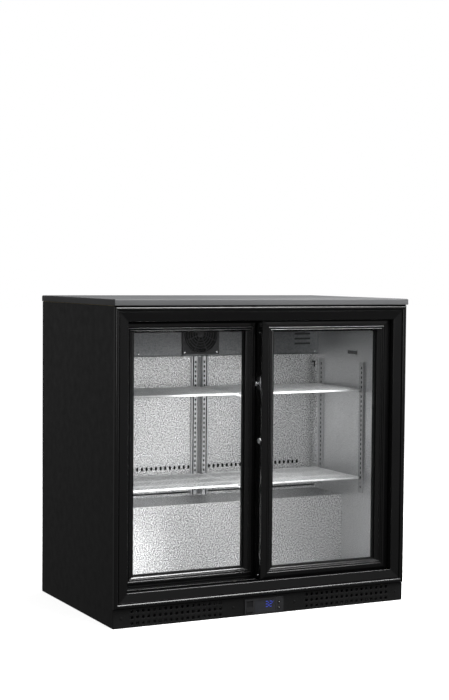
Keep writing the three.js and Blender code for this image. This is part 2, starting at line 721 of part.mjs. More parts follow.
function addController() {
  const faceY = FRONT_Y - PANEL_PROUD;
  const housing = box([PANEL_X0, PANEL_X1], [faceY, FRONT_Y + 20], [PANEL_Z0, PANEL_Z1]);
  const middleZ = (PANEL_Z0 + PANEL_Z1) / 2;
  const switchHole = box(
    [SWITCH_X - SWITCH_W / 2 - GAP, SWITCH_X + SWITCH_W / 2 + GAP],
    [faceY - CUT, faceY + 12],
    [middleZ - SWITCH_H / 2 - 1, middleZ + SWITCH_H / 2 + 1],
  );
  const windowHole = box(
    [WINDOW_X0 - GAP, WINDOW_X1 + GAP],
    [faceY - CUT, faceY + 2 + GAP],
    [PANEL_Z0 + 5 - GAP, PANEL_Z1 - 5 + GAP],
  );
  const buttons = [['button_up', middleZ + 8], ['button_down', middleZ - 8]];
  const buttonHoles = buttons.map(([, z]) =>
    cylinder(BUTTON_R + GAP, 8, 16).translate(BUTTON_X, faceY + 3, z),
  );
  add('controller_housing', cut(housing, switchHole, windowHole, ...buttonHoles), 'greyPlastic');
  const display = box([WINDOW_X0, WINDOW_X1], [faceY + 0.5, faceY + 2], [PANEL_Z0 + 5, PANEL_Z1 - 5]);
  add('controller_display', display, 'window');
  for (const [name, z] of buttons) {
    const cap = cylinder(BUTTON_R, 5, 16).translate(BUTTON_X, faceY + 1.5, z);
    add(name, cap, 'blackPlastic');
  }

  // rocker: two faces meeting at a shallow angle over the pivot, its upper half pressed in
  const half = SWITCH_H / 2 - 1;
  const rocker = [
    [faceY + 5, middleZ - half],
    [faceY + 7, middleZ],
    [faceY + 5, middleZ + half],
    [faceY + 0.6, middleZ + half],
    [faceY + 0.6, middleZ],
    [faceY - ROCKER_PROUD, middleZ - half],
  ];
  const rockerX = [SWITCH_X - SWITCH_W / 2, SWITCH_X + SWITCH_W / 2];
  add('light_switch_rocker', alongX(rocker.reverse(), rockerX), 'blackPlastic');
}

// ---------------------------------------------------------------- shelves
function shelf(x0, x1, z) {
  const innerX = [x0 + SHELF_ROD, x1 - SHELF_ROD];
  const pitch = (innerX[1] - innerX[0] + WIRE_WIDTH) / (SHELF_WIRES + 1);
  const half = SHELF_ROD / 2;
  const spanY = [SHELF_FRONT + SHELF_ROD, SHELF_BACK - SHELF_ROD];
  const slots = [];
  for (let i = 0; i <= SHELF_WIRES; i += 1) {
    const a = innerX[0] + i * pitch;
    const span = [a, a + pitch - WIRE_WIDTH];
    slots.push(box(span, spanY, [z - half - CUT, z + half + CUT]));
  }
  return cut(box([x0, x1], [SHELF_FRONT, SHELF_BACK], [z - half, z + half]), ...slots);
}

function addShelves() {
  for (const [level, z] of Object.entries(SHELF_LEVELS)) {
    add(`shelf_left_${level}`, shelf(-SHELF_OUTER_X, -SHELF_INNER_X, z), 'wire');
    add(`shelf_right_${level}`, shelf(SHELF_INNER_X, SHELF_OUTER_X, z), 'wire');
  }
}

// cantilever bracket hooked into the centre pilaster: a flange under both half shelves and a tapered web
function addBrackets() {
  const back = DUCT_Y - PILASTER_DEPTH - 2 * GAP;
  const front = SHELF_FRONT + 10;
  for (const [level, z] of Object.entries(SHELF_LEVELS)) {
    const top = z - SHELF_ROD / 2 - GAP;
    const web = alongX([[front, top - 6], [back, top - 24], [back, top - 1], [front, top - 1]], [-1, 1]);
    const flange = box([-BRACKET_HALF, BRACKET_HALF], [front, back], [top - 2, top]);
    add(`shelf_bracket_${level}`, join(flange, web), 'galvanised');
  }
}

// clips in the side pilasters, one under each shelf corner
function clips() {
  return Object.values(SHELF_LEVELS).map((z) => {
    const top = z - SHELF_ROD / 2 - GAP;
    return box([-CLIP_WIDTH / 2, CLIP_WIDTH / 2], [-CLIP_REACH, -PILASTER_DEPTH + SKIN / 2], [top - 3, top]);
  });
}

// perforated channel, drawn with its slotted face to the front (-Y) and its flanges to the wall
function channel(width, columns) {
  const half = width / 2;
  const slots = [];
  const first = (PILASTER_TOP + PILASTER_BOTTOM - (SLOT_COUNT - 1) * SLOT_PITCH) / 2;
  for (const column of columns) {
    for (let i = 0; i < SLOT_COUNT; i += 1) {
      const z = first + i * SLOT_PITCH;
      slots.push(rectangle([column - SLOT_W / 2, column + SLOT_W / 2], [z - SLOT_H / 2, z + SLOT_H / 2]));
    }
  }
  const height = [PILASTER_BOTTOM, PILASTER_TOP];
  const face = platePiece([-half, half], [-PILASTER_DEPTH, -PILASTER_DEPTH + SKIN], height, slots);
  const flanges = [-1, 1].map((side) => {
    const ends = [side * half, side * (half - SKIN)].sort((a, b) => a - b);
    return box(ends, [-PILASTER_DEPTH, 0], height);
  });
  return join(face, ...flanges);
}

function addPilasters() {
  const centre = channel(2 * PILASTER_WIDTH + 10, [-15, 15]);
  const groove = box([-5, 5], [-PILASTER_DEPTH - CUT, -PILASTER_DEPTH + SKIN / 2], [0, HEIGHT]);
  add('pilaster_centre', cut(centre, groove).translate(0, DUCT_Y - GAP, 0), 'liner');
  const sides = [['left', -1], ['right', 1]];
  const places = [['rear', 125], ['front', -110]];
  for (const [side, sign] of sides) {
    for (const [place, y] of places) {
      const geometry = join(channel(PILASTER_WIDTH, [0]), ...clips()).rotateZ((-sign * Math.PI) / 2);
      add(`pilaster_${side}_${place}`, geometry.translate(sign * (LINER_X - GAP), y, 0), 'liner');
    }
  }
}

// ---------------------------------------------------------------- evaporator
function fanGrille() {
  const rings = 5;
  const pitch = 10.4;
  const bar = 2.6;
  const spoke = 0.09;
  const holes = [];
  for (let ring = 1; ring <= rings; ring += 1) {
    const inner = ring * pitch - pitch + bar + 1;
    const outer = ring * pitch + 1;
    for (let quarter = 0; quarter < 4; quarter += 1) {
      const start = (quarter * Math.PI) / 2 + spoke + bar / outer;
      const end = ((quarter + 1) * Math.PI) / 2 - spoke - bar / outer;
      const arc = (radius, from, to) => {
        const points = [];
        for (let i = 0; i <= ARC_STEPS; i += 1) {
          const angle = from + ((to - from) * i) / ARC_STEPS;
          points.push([radius * Math.cos(angle), FAN_Z + radius * Math.sin(angle)]);
        }
        return points;
      };
      holes.push([...arc(outer, start, end), ...arc(inner, end, start)]);
    }
  }
  const half = FAN_SIZE / 2;
  const front = COVER_Y - GAP - GRILLE_THICK;
  return platePiece([-half, half], [front, COVER_Y - GAP], [FAN_Z - half, FAN_Z + half], holes);
}

// hub and twisted blades about the Y axis
function fanRotor(hubR, hubDepth, tipR, blades, chord, pitchAngle) {
  const hub = cylinder(hubR, hubDepth, 20);
  const pieces = [];
  for (let i = 0; i < blades; i += 1) {
    const length = tipR - hubR + 2;
    const blade = new THREE.BoxGeometry(length, 2, chord).translate(hubR - 2 + length / 2, 0, 0);
    blade.rotateX(pitchAngle).rotateY((2 * Math.PI * i) / blades);
    pieces.push(blade);
  }
  return join(hub, ...pieces);
}

function fanFrame(size, ductR, depth, motorR, strutWidth) {
  const plate = new THREE.BoxGeometry(size, depth, size);
  const duct = cylinder(ductR, depth + 2 * CUT, 32);
  const wall = 2.5;
  const struts = [0, 1].map((i) =>
    new THREE.BoxGeometry(2 * ductR + wall, wall, strutWidth).rotateY(Math.PI / 4 + (i * Math.PI) / 2),
  );
  const motor = cylinder(motorR, wall + 4, 20);
  const bracket = [...struts, motor].map((piece) => piece.translate(0, depth / 2 - wall - 1, 0));
  return join(cut(plate, duct), ...bracket);
}

function finnedBlock([x0, x1], [y0, y1], [z0, z1], fins) {
  const pitch = (x1 - x0) / fins;
  const spine = y0 + (y1 - y0) * 0.7;
  const points = [[x0, y1], [x0, y0]];
  for (let i = 0; i < fins - 1; i += 1) {
    const x = x0 + i * pitch + pitch * 0.3;
    points.push([x, y0], [x, spine], [x + pitch * 0.7, spine], [x + pitch * 0.7, y0]);
  }
  points.push([x1, y0], [x1, y1]);
  return alongZ(points.reverse(), [z0, z1]);
}

function addEvaporator() {
  const halfX = LINER_X - GAP;
  const louvres = [];
  for (const side of [-1, 1]) {
    for (const z of LOUVRE_Z) {
      const ends = [side * LOUVRE_X[0], side * LOUVRE_X[1]].sort((a, b) => a - b);
      louvres.push(rectangle(ends, [z - LOUVRE_H / 2, z + LOUVRE_H / 2]));
    }
  }
  louvres.push(circlePoints(0, FAN_Z, FAN_DUCT_R, FAN_DUCT_R, 32));
  const coverZ = [COVER_BOTTOM, CEILING_Z - GAP];
  const front = platePiece([-halfX, halfX], [COVER_Y, COVER_Y + SKIN], coverZ, louvres);
  const foot = box([-halfX, halfX], [COVER_Y, DUCT_Y + 12], [COVER_BOTTOM, COVER_BOTTOM + SKIN]);
  add('evaporator_cover', join(front, foot), 'liner');
  add('evaporator_fan_grille', fanGrille(), 'blackPlastic');

  const fanY = COVER_Y + SKIN + GAP + FAN_DEPTH / 2;
  const frame = fanFrame(FAN_SIZE, FAN_DUCT_R, FAN_DEPTH, 18, 8);
  add('evaporator_fan_frame', frame.translate(0, fanY, FAN_Z), 'blackPlastic');
  const rotor = fanRotor(20, 12, FAN_DUCT_R - 2, FAN_BLADES, 20, 0.6);
  add('evaporator_fan_rotor', rotor.translate(0, fanY - 4, FAN_Z), 'blackPlastic');

  add('evaporator_coil', finnedBlock([-COIL_X, COIL_X], COIL_Y, COIL_Z, 36), 'galvanised');
  add('light_bar', box([-LAMP_X, LAMP_X], LAMP_Y, [CEILING_Z - LAMP_H, CEILING_Z - GAP]), 'lamp');
}

// ---------------------------------------------------------------- machine bay
function addMachineBay() {
  const bayMidY = (BAY_Y + GRILLE_Y) / 2;
  const floor = BASE_SKIN + GAP;

  // hermetic compressor on a base plate with four rubber-footed studs
  const shellProfile = [
    [0, 18],
    [58, 18],
    [68, 28],
    [72, 84],
    [72, 92],
    [69, 96],
    [68, 130],
    [60, 152],
    [36, 164],
    [0, 167],
  ];
  const shell = new THREE.LatheGeometry(shellProfile.map(([r, y]) => new THREE.Vector2(r, y)), 28);
  shell.rotateX(Math.PI / 2);
  const plate = box([-95, 95], [-52, 52], [16, 20]);
  const feet = [[-84, -42], [84, -42], [84, 42], [-84, 42]].map(([x, y]) =>
    cylinder(9, 15, 12).rotateX(Math.PI / 2).translate(x, y, floor + 7.5),
  );
  const terminal = box([-30, 30], [62, 90], [70, 112]);
  const compressor = join(shell, plate, terminal, ...feet);
  add('compressor', compressor.translate(COMPRESSOR_X, bayMidY, 0), 'compressorBlack');

  // air is drawn along X through the condenser by its fan
  const half = CONDENSER_WIDTH / 2;
  const bottom = floor + 3;
  const condenser = finnedBlock([-half, half], [0, CONDENSER_DEEP], [bottom, CONDENSER_TOP], 24);
  condenser.rotateZ(Math.PI / 2).translate(CONDENSER_X, bayMidY, 0);
  add('condenser', condenser, 'galvanised');
  const shroud = fanFrame(SHROUD_SIZE, SHROUD_DUCT_R, SHROUD_DEEP, 32, 16).rotateZ(Math.PI / 2);
  const fanZ = bottom + SHROUD_SIZE / 2 + 4;
  const shroudX = CONDENSER_X + GAP + SHROUD_DEEP / 2;
  add('condenser_fan_shroud', shroud.translate(shroudX, bayMidY, fanZ), 'blackPlastic');
  const rotor = fanRotor(28, 10, SHROUD_DUCT_R - 4, 5, 34, 0.35).rotateZ(Math.PI / 2);
  add('condenser_fan_rotor', rotor.translate(shroudX + 5, bayMidY, fanZ), 'greyPlastic');

  const slots = [];
  for (const x of REAR_SLOT_X) {
    for (let row = 0; row < REAR_SLOT_ROWS; row += 1) {
      const z = REAR_SLOT_Z + row * REAR_SLOT_PITCH;
      slots.push(rectangle([x - 40, x + 40], [z - 3, z + 3]));
    }
  }
  slots.push(circlePoints(INLET_X, INLET_Z, 8, 8, 12));
  const grilleX = SIDE_X - REAR_FLANGE - 3;
  const grille = platePiece([-grilleX, grilleX], [GRILLE_Y, GRILLE_Y + SKIN], [GAP, BAY_TOP - GAP], slots);
  add('rear_grille', grille, 'blackPanel');

  // cord gland: a flange outside the grille and a body through it
  const gland = [[4, -12], [7.5, -12], [7.5, SKIN + GAP], [11, SKIN + GAP], [11, 4], [8, 7.5], [4, 7.5]];
  const glandPoints = [...gland, gland[0]].map(([r, y]) => new THREE.Vector2(r, y));
  const glandBody = new THREE.LatheGeometry(glandPoints, 16).translate(INLET_X, GRILLE_Y, INLET_Z);
  add('power_cord_gland', glandBody, 'blackPlastic');
}

addShell();
addInsulation();
addLiner();
addAirDuct();
addFrontFrame();
addTracks();
addDoors();
addKickPanel();
addController();
addShelves();
addBrackets();
addPilasters();
addEvaporator();
addMachineBay();

export default fridge;
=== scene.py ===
import math

import bmesh
import bpy
from mathutils import Matrix, Vector


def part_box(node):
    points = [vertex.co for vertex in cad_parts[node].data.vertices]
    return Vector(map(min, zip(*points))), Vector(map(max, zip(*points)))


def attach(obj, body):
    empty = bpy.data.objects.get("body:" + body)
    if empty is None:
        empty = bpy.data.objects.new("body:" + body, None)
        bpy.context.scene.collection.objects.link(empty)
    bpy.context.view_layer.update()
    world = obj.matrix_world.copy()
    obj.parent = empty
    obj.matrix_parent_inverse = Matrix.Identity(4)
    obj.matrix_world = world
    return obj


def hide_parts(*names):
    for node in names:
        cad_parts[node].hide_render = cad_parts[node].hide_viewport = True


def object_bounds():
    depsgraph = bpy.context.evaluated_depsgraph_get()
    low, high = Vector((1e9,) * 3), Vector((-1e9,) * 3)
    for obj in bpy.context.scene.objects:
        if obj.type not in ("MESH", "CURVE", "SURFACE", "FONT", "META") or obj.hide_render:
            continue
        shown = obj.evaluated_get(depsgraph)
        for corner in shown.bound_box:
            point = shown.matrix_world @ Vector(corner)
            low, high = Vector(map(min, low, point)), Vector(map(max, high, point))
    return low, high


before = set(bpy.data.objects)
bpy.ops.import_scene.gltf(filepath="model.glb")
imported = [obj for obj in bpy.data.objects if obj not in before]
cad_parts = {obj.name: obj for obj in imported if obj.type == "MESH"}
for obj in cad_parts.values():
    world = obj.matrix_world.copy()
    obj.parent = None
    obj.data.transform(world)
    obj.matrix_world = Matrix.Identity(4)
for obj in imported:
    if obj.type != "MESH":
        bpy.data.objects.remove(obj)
cad_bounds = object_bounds()

# Pieces are drawn in millimetres in the CAD's frame: X to the right, Y to the back, Z up.
# finish_piece turns them into metres. Lights and the camera are in metres.
MM = 0.001
HALF_WIDTH, HALF_DEPTH, TOP_Z = (round(v / MM, 1) for v in cad_bounds[1])

# front frame, kick panel and doors
FRONT_Y = -265.0
FRAME_X = 448.0
FRAME_Z = (52.0, 846.0)
FRONT_DOOR_Y = -249.0
REAR_DOOR_Y = -213.0
DOOR_W, DOOR_Z0, DOOR_Z1 = 410.0, 88.0, 812.0
DOOR_LEFT_X, DOOR_RIGHT_X = -406.0, -4.0
KICK_TOP = 50.5
KICK_HOLE_X = [134.0 + 16.25 * i for i in range(17)]
KICK_ROWS = [(10.0, 8.25), (26.5, 8.25), (42.625, 7.875)]  # middle and half height of each row's cells
FRAME_SIDES = ("top", "bottom", "left", "right")
KNOB_Z, LOCK_Z = 632.0, 475.0
BOLT_BORE_R = 3.5

# inside
LINER_X = 402.7
DUCT_Y, DUCT_Z = 155.0, (273.3, 687.0)
OUTLET_X = [34.0 + 15.0 * i for i in range(21)]
OUTLET_Z = 358.0
COVER_Y, COVER_Z = 150.0, (688.0, 814.7)
LOUVRE_X = (319.0, 373.0)
LOUVRE_Z = (720.0, 735.0, 750.0)
LOUVRE_HALF = 3.0
FAN_Z, FAN_HALF = 752.5, 60.0
SHELF_X, SHELF_Y = (3.0, 396.0), (-120.0, 145.0)
SHELF_LEVELS = {"lower": 337.0, "upper": 595.0}
SHELF_RIM_R, SHELF_BAR_R, SHELF_WIRE_R = 3.0, 2.4, 1.25
SHELF_WIRES = 34
SUPPORT_HALF, SUPPORT_DEPTH, SUPPORT_SKIN = 11.0, 4.5, 1.0
SLOT_PITCH, SLOT_CELL, SLOT_HALF_Z = 14.0, 5.0, 3.8
SIDE_SUPPORTS = {"rear": 125.0, "front": -110.0}  # Y of each upright on a side wall

# studio, in metres
FLOOR_GLOW = 0.85
ROOM_LOW, ROOM_HIGH = 0.07, 0.2
STUDIO_LIGHTS = [  # name, place, target, size, radiance
    ("soft_box_top", (0.9, -0.7, 2.9), (0.0, 0.0, 0.6), (2.6, 1.6), 8.0),
    ("strip_top", (1.25, -1.75, 2.8), (0.0, -0.2, 0.8), (2.6, 0.3), 23.0),
    ("strip_rail", (1.07, -2.37, 1.57), (-0.1, -0.25, 0.79), (2.6, 0.1), 9.0),
    ("soft_box_right", (3.2, -0.9, 0.9), (0.0, -0.2, 0.5), (0.4, 1.8), 1.0),
    ("soft_box_camera", (-2.4, -3.4, 1.2), (-0.2, -0.2, 0.5), (0.9, 1.8), 2.0),
]
LINER_LIGHT_Y = -0.168
INSIDE_LIGHTS = [  # just behind the doors: name, x0, x1, z0, z1, radiance
    ("door_light_sill_left", -0.40, -0.13, 0.09, 0.18, 3.4),
    ("door_light_low_left", -0.40, -0.15, 0.20, 0.33, 1.05),
    ("door_light_low_middle", -0.05, 0.11, 0.09, 0.33, 1.1),
    ("door_light_low_right", 0.14, 0.40, 0.09, 0.33, 0.55),
    ("door_light_step_top", -0.40, 0.10, 0.335, 0.36, 7.0),
    ("door_light_mid_left", -0.20, 0.12, 0.38, 0.53, 0.75),
    ("door_light_mid_right", 0.12, 0.30, 0.36, 0.55, 1.1),
    ("door_light_high", -0.20, 0.30, 0.56, 0.63, 4.6),
]
CAMERA_PLACE = (-2.000726, -3.999095, 0.944257)
CAMERA_YAW, CAMERA_PITCH, CAMERA_ROLL = 0.464856, 0.051741, 0.008135
CAMERA_LENS = 80.117


# ------------------------------------------------------------------ materials
def new_material(name, color, rough, metal=0.0, spec=0.5, coat=0.0, coat_rough=0.1):
    mat = bpy.data.materials.new(name)
    mat.use_nodes = True
    shader = mat.node_tree.nodes["Principled BSDF"]
    shader.inputs["Base Color"].default_value = (*color, 1.0)
    shader.inputs["Roughness"].default_value = rough
    shader.inputs["Metallic"].default_value = metal
    shader.inputs["Specular IOR Level"].default_value = spec
    shader.inputs["Coat Weight"].default_value = coat
    shader.inputs["Coat Roughness"].default_value = coat_rough
    return mat, mat.node_tree, shader


def local_coords(tree, scale=(1.0, 1.0, 1.0)):
    """Object coordinates, so that a pattern stays on a piece that moves."""
    texco = tree.nodes.new("ShaderNodeTexCoord")
    mapping = tree.nodes.new("ShaderNodeMapping")
    mapping.inputs["Scale"].default_value = scale
    tree.links.new(texco.outputs["Object"], mapping.inputs["Vector"])
    return mapping.outputs["Vector"]


def noise(tree, vector, scale, detail=4.0, rough=0.55):
    node = tree.nodes.new("ShaderNodeTexNoise")
    node.inputs["Scale"].default_value = scale
    node.inputs["Detail"].default_value = detail
    node.inputs["Roughness"].default_value = rough
    tree.links.new(vector, node.inputs["Vector"])
    return node.outputs["Fac"]


def ramp(tree, fac, stops):
    node = tree.nodes.new("ShaderNodeValToRGB")
    elements = node.color_ramp.elements
    while len(elements) < len(stops):
        elements.new(0.5)
    for element, (place, color) in zip(elements, stops):
        element.position = place
        element.color = (*color, 1.0) if isinstance(color, tuple) else (color, color, color, 1.0)
    tree.links.new(fac, node.inputs["Fac"])
    return node.outputs["Color"]


def bump(tree, shader, height, strength, distance):
    node = tree.nodes.new("ShaderNodeBump")
    node.inputs["Strength"].default_value = strength
    node.inputs["Distance"].default_value = distance
    tree.links.new(height, node.inputs["Height"])
    tree.links.new(node.outputs["Normal"], shader.inputs["Normal"])


def coated_black(name, tint, rough, spec, coat=0.0):
    """Powder coat: faint orange peel, fine dust and small changes in gloss."""
    mat, tree, shader = new_material(name, tint, rough, spec=spec, coat=coat, coat_rough=0.12)
    vector = local_coords(tree)
    cloud = noise(tree, vector, 6.0, 3.0)
    lo, hi = tuple(c * 0.82 for c in tint), tuple(c * 1.25 for c in tint)
    tree.links.new(ramp(tree, cloud, [(0.3, lo), (0.7, hi)]), shader.inputs["Base Color"])
    gloss = ramp(tree, noise(tree, vector, 38.0, 5.0), [(0.3, rough - 0.05), (0.72, rough + 0.07)])
    tree.links.new(gloss, shader.inputs["Roughness"])
    peel = noise(tree, vector, 950.0, 2.0)
    bump(tree, shader, peel, 0.12, 0.0002)
    return mat


def anodised(name, tint, rough, spec, along):
    """Extruded black aluminium: fine die lines along the bar."""
    mat, tree, shader = new_material(name, tint, rough, metal=0.0, spec=spec, coat=0.5, coat_rough=0.07)
    scale = {"X": (4.0, 900.0, 900.0), "Z": (900.0, 900.0, 4.0)}[along]
    lines = noise(tree, local_coords(tree, scale), 1.0, 3.0)
    cloud = noise(tree, local_coords(tree), 9.0, 4.0)
    lo, hi = tuple(c * 0.85 for c in tint), tuple(c * 1.3 for c in tint)
    tree.links.new(ramp(tree, cloud, [(0.3, lo), (0.75, hi)]), shader.inputs["Base Color"])
    gloss = ramp(tree, lines, [(0.25, rough - 0.05), (0.8, rough + 0.08)])
    tree.links.new(gloss, shader.inputs["Roughness"])
    bump(tree, shader, lines, 0.08, 0.0001)
    return mat


def stucco(name, color, rough, depth, shade_factor=0.25):
    """Embossed aluminium sheet with a grain of about 3 mm; painted shade and reflection: its colour is
    darkened in patches of the grain, down to the shade factor.
    """
    mat, tree, shader = new_material(name, color, rough, metal=1.0)
    vector = local_coords(tree)
    cells = tree.nodes.new("ShaderNodeTexVoronoi")
    cells.feature = "SMOOTH_F1"
    cells.inputs["Scale"].default_value = 300.0
    cells.inputs["Smoothness"].default_value = 0.7
    warp = tree.nodes.new("ShaderNodeVectorMath")
    warp.operation = "MULTIPLY_ADD"
    wobble = tree.nodes.new("ShaderNodeTexNoise")
    wobble.inputs["Scale"].default_value = 170.0
    tree.links.new(vector, wobble.inputs["Vector"])
    warp.inputs[1].default_value = (0.006, 0.006, 0.006)
    tree.links.new(wobble.outputs["Color"], warp.inputs[0])
    tree.links.new(vector, warp.inputs[2])
    tree.links.new(warp.outputs[0], cells.inputs["Vector"])
    tone = noise(tree, vector, 5.0, 3.0)
    lo, hi = tuple(c * 0.93 for c in color), tuple(min(1.0, c * 1.05) for c in color)
    sheet = ramp(tree, tone, [(0.3, lo), (0.7, hi)])
    # painted shade and reflection: patches of the embossing are painted darker than the next, down to the
    # shade factor
    painted_facet_shade = ramp(tree, noise(tree, vector, 290.0, 2.0, 0.6), [(0.38, shade_factor), (0.58, 1.0)])
    blend = tree.nodes.new("ShaderNodeMix")
    blend.data_type = "RGBA"
    blend.blend_type = "MULTIPLY"
    blend.inputs["Factor"].default_value = 1.0
    tree.links.new(sheet, blend.inputs["A"])
    tree.links.new(painted_facet_shade, blend.inputs["B"])
    tree.links.new(blend.outputs["Result"], shader.inputs["Base Color"])
    fine = ramp(tree, noise(tree, vector, 700.0, 3.0), [(0.3, rough - 0.06), (0.7, rough + 0.08)])
    tree.links.new(fine, shader.inputs["Roughness"])
    bump(tree, shader, cells.outputs["Distance"], 0.9, depth)
    return mat


def brushed(name, color, rough, stretch, metal=0.8, spec=0.5):
    mat, tree, shader = new_material(name, color, rough, metal=metal, spec=spec)
    streaks = noise(tree, local_coords(tree, stretch), 1.0, 6.0, 0.65)
    cloud = noise(tree, local_coords(tree), 4.0, 3.0)
    lo, hi = tuple(c * 0.88 for c in color), tuple(min(1.0, c * 1.1) for c in color)
    tree.links.new(ramp(tree, cloud, [(0.3, lo), (0.7, hi)]), shader.inputs["Base Color"])
    gloss = ramp(tree, streaks, [(0.3, rough - 0.07), (0.7, rough + 0.1)])
    tree.links.new(gloss, shader.inputs["Roughness"])
    bump(tree, shader, streaks, 0.12, 0.0001)
    return mat


def moulded(name, color, rough, spec=0.4, grain=1400.0):
    mat, tree, shader = new_material(name, color, rough, spec=spec)
    vector = local_coords(tree)
    tone = noise(tree, vector, 30.0, 4.0)
    lo, hi = tuple(c * 0.85 for c in color), tuple(min(1.0, c * 1.15) for c in color)
    tree.links.new(ramp(tree, tone, [(0.3, lo), (0.7, hi)]), shader.inputs["Base Color"])
    fine = noise(tree, vector, grain, 2.0)
    tree.links.new(ramp(tree, fine, [(0.3, rough - 0.06), (0.7, rough + 0.06)]), shader.inputs["Roughness"])
    bump(tree, shader, fine, 0.2, 0.0001)
    return mat


def clear_glass(name):
    mat, tree, shader = new_material(name, (0.03, 0.036, 0.035), 0.03, spec=0.5)
    shader.inputs["IOR"].default_value = 1.5
    smear = noise(tree, local_coords(tree, (1.0, 1.0, 0.4)), 9.0, 5.0)
    tree.links.new(ramp(tree, smear, [(0.35, 0.02), (0.8, 0.06)]), shader.inputs["Roughness"])
    veil = tree.nodes.new("ShaderNodeMapRange")
    veil.inputs["To Min"].default_value = 0.03
    veil.inputs["To Max"].default_value = 0.045
    tree.links.new(smear, veil.inputs["Value"])
    tree.links.new(veil.outputs["Result"], shader.inputs["Alpha"])
    return mat


def glowing(name, color, strength, rough=0.4):
    mat, tree, shader = new_material(name, color, rough)
    shader.inputs["Emission Strength"].default_value = strength
    spots = noise(tree, local_coords(tree, (1.0, 1.0, 1.0)), 60.0, 2.0)
    lo = tuple(c * 0.9 for c in color)
    tree.links.new(ramp(tree, spots, [(0.3, lo), (0.7, color)]), shader.inputs["Emission Color"])
    return mat


# ------------------------------------------------------------------ looks
M = {
    "panel": coated_black("black_panel", (0.006, 0.006, 0.0062), 0.42, 0.4),
    "kick": coated_black("kick_black", (0.013, 0.013, 0.0132), 0.4, 0.35),
    "bar_x": anodised("frame_black_x", (0.004, 0.004, 0.0042), 0.2, 0.5, "X"),
    "bar_z": anodised("frame_black_z", (0.004, 0.004, 0.0042), 0.2, 0.5, "Z"),
    "track": anodised("track_black", (0.012, 0.012, 0.012), 0.34, 0.4, "X"),
    "top": brushed("worktop_grey", (0.13, 0.132, 0.136), 0.5, (3.0, 260.0, 260.0), metal=0.0, spec=0.3),
    "liner": stucco("embossed_liner", (0.88, 0.885, 0.89), 0.3, 0.0016),
    "wall": stucco("embossed_wall", (0.74, 0.745, 0.75), 0.32, 0.0008, 0.75),
    # painted shade: the evaporator cover is a much darker copy of the liner sheet, for the shade under the
    # door header
    "cover": stucco("cover_liner_painted_shade", (0.2, 0.205, 0.21), 0.36, 0.0007, 0.75),
    # painted highlight: bright metal for the lines that stand in for highlights on the black door beads
    "edge": brushed("painted_highlight_trim", (0.92, 0.93, 0.94), 0.45, (4.0, 500.0, 500.0), metal=1.0),
    "side_rail": brushed("side_rail_grey", (0.46, 0.465, 0.47), 0.4, (200.0, 200.0, 3.0), metal=0.15),
    # painted shade: dark grey for the recess between the centre strips
    "channel": brushed("recess_shade_grey", (0.2, 0.202, 0.205), 0.45, (200.0, 200.0, 3.0), metal=0.5),
    "smooth": brushed("plain_liner", (0.72, 0.73, 0.74), 0.42, (200.0, 200.0, 3.0), metal=0.35),
    "wire": moulded("coated_wire", (0.86, 0.87, 0.88), 0.28, 0.5),
    "galv": brushed("galvanised", (0.5, 0.52, 0.53), 0.45, (60.0, 60.0, 60.0)),
    "chrome": brushed("polished_chrome", (0.82, 0.83, 0.85), 0.14, (400.0, 400.0, 400.0), metal=1.0),
    "black": moulded("black_plastic", (0.016, 0.016, 0.017), 0.45),
    # black of the real gaskets and spacer, and of the painted shade sheets in gaps, behind slots and in the
    # keyway
    "gasket_and_shade": moulded("gasket_and_shade_black", (0.008, 0.008, 0.008), 0.6, 0.25),
    "vent": moulded("wall_vent_grey", (0.09, 0.09, 0.092), 0.45),
    "grille": moulded("fan_grille_black", (0.03, 0.03, 0.032), 0.5),
    "grey": moulded("controller_grey", (0.036, 0.036, 0.038), 0.42),
    "window": moulded("display_window", (0.045, 0.046, 0.052), 0.16, 0.5, 500.0),
    "white": moulded("white_plastic", (0.78, 0.78, 0.75), 0.45),
    "foam": moulded("rigid_foam", (0.8, 0.68, 0.36), 0.9, 0.2, 300.0),
    "compressor": coated_black("compressor_black", (0.014, 0.014, 0.015), 0.3, 0.5, 0.3),
    "copper": brushed("copper_tube", (0.72, 0.36, 0.2), 0.3, (90.0, 90.0, 90.0), metal=1.0),
    "glass": clear_glass("door_glass"),
    "lamp": glowing("lamp_diffuser", (1.0, 0.98, 0.95), 0.5),
    "digit": glowing("digit_blue", (0.04, 0.06, 0.42), 0.7),
}

# ------------------------------------------------------------------ mesh helpers
def finish_piece(bm, name, mat, body, replaced=(), smooth=32.0, bevel=0.0):
    """The bmesh, in millimetres, becomes a piece that rides on a body."""
    bmesh.ops.scale(bm, vec=(MM, MM, MM), verts=bm.verts)
    bmesh.ops.recalc_face_normals(bm, faces=bm.faces)
    mesh = bpy.data.meshes.new(name)
    bm.to_mesh(mesh)
    bm.free()
    mesh.shade_smooth()
    mesh.set_sharp_from_angle(angle=math.radians(smooth))
    mesh.materials.append(mat)
    piece = bpy.data.objects.new(name, mesh)
    bpy.context.scene.collection.objects.link(piece)
    if bevel:
        add_bevel(piece, bevel)
    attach(piece, body)
    if replaced:
        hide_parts(*replaced)
    return piece


def add_bevel(piece, width, segments=2):
    mod = piece.modifiers.new("edge_round", "BEVEL")
    mod.width = width * MM
    mod.segments = segments
    mod.limit_method = "ANGLE"
    mod.angle_limit = math.radians(35)
    mod.harden_normals = False


def box(bm, x, y, z):
    lo, hi = Vector((x[0], y[0], z[0])), Vector((x[1], y[1], z[1]))
    matrix = Matrix.Translation((lo + hi) / 2) @ Matrix.Diagonal((*(hi - lo), 1.0))
    bmesh.ops.create_cube(bm, size=1.0, matrix=matrix)


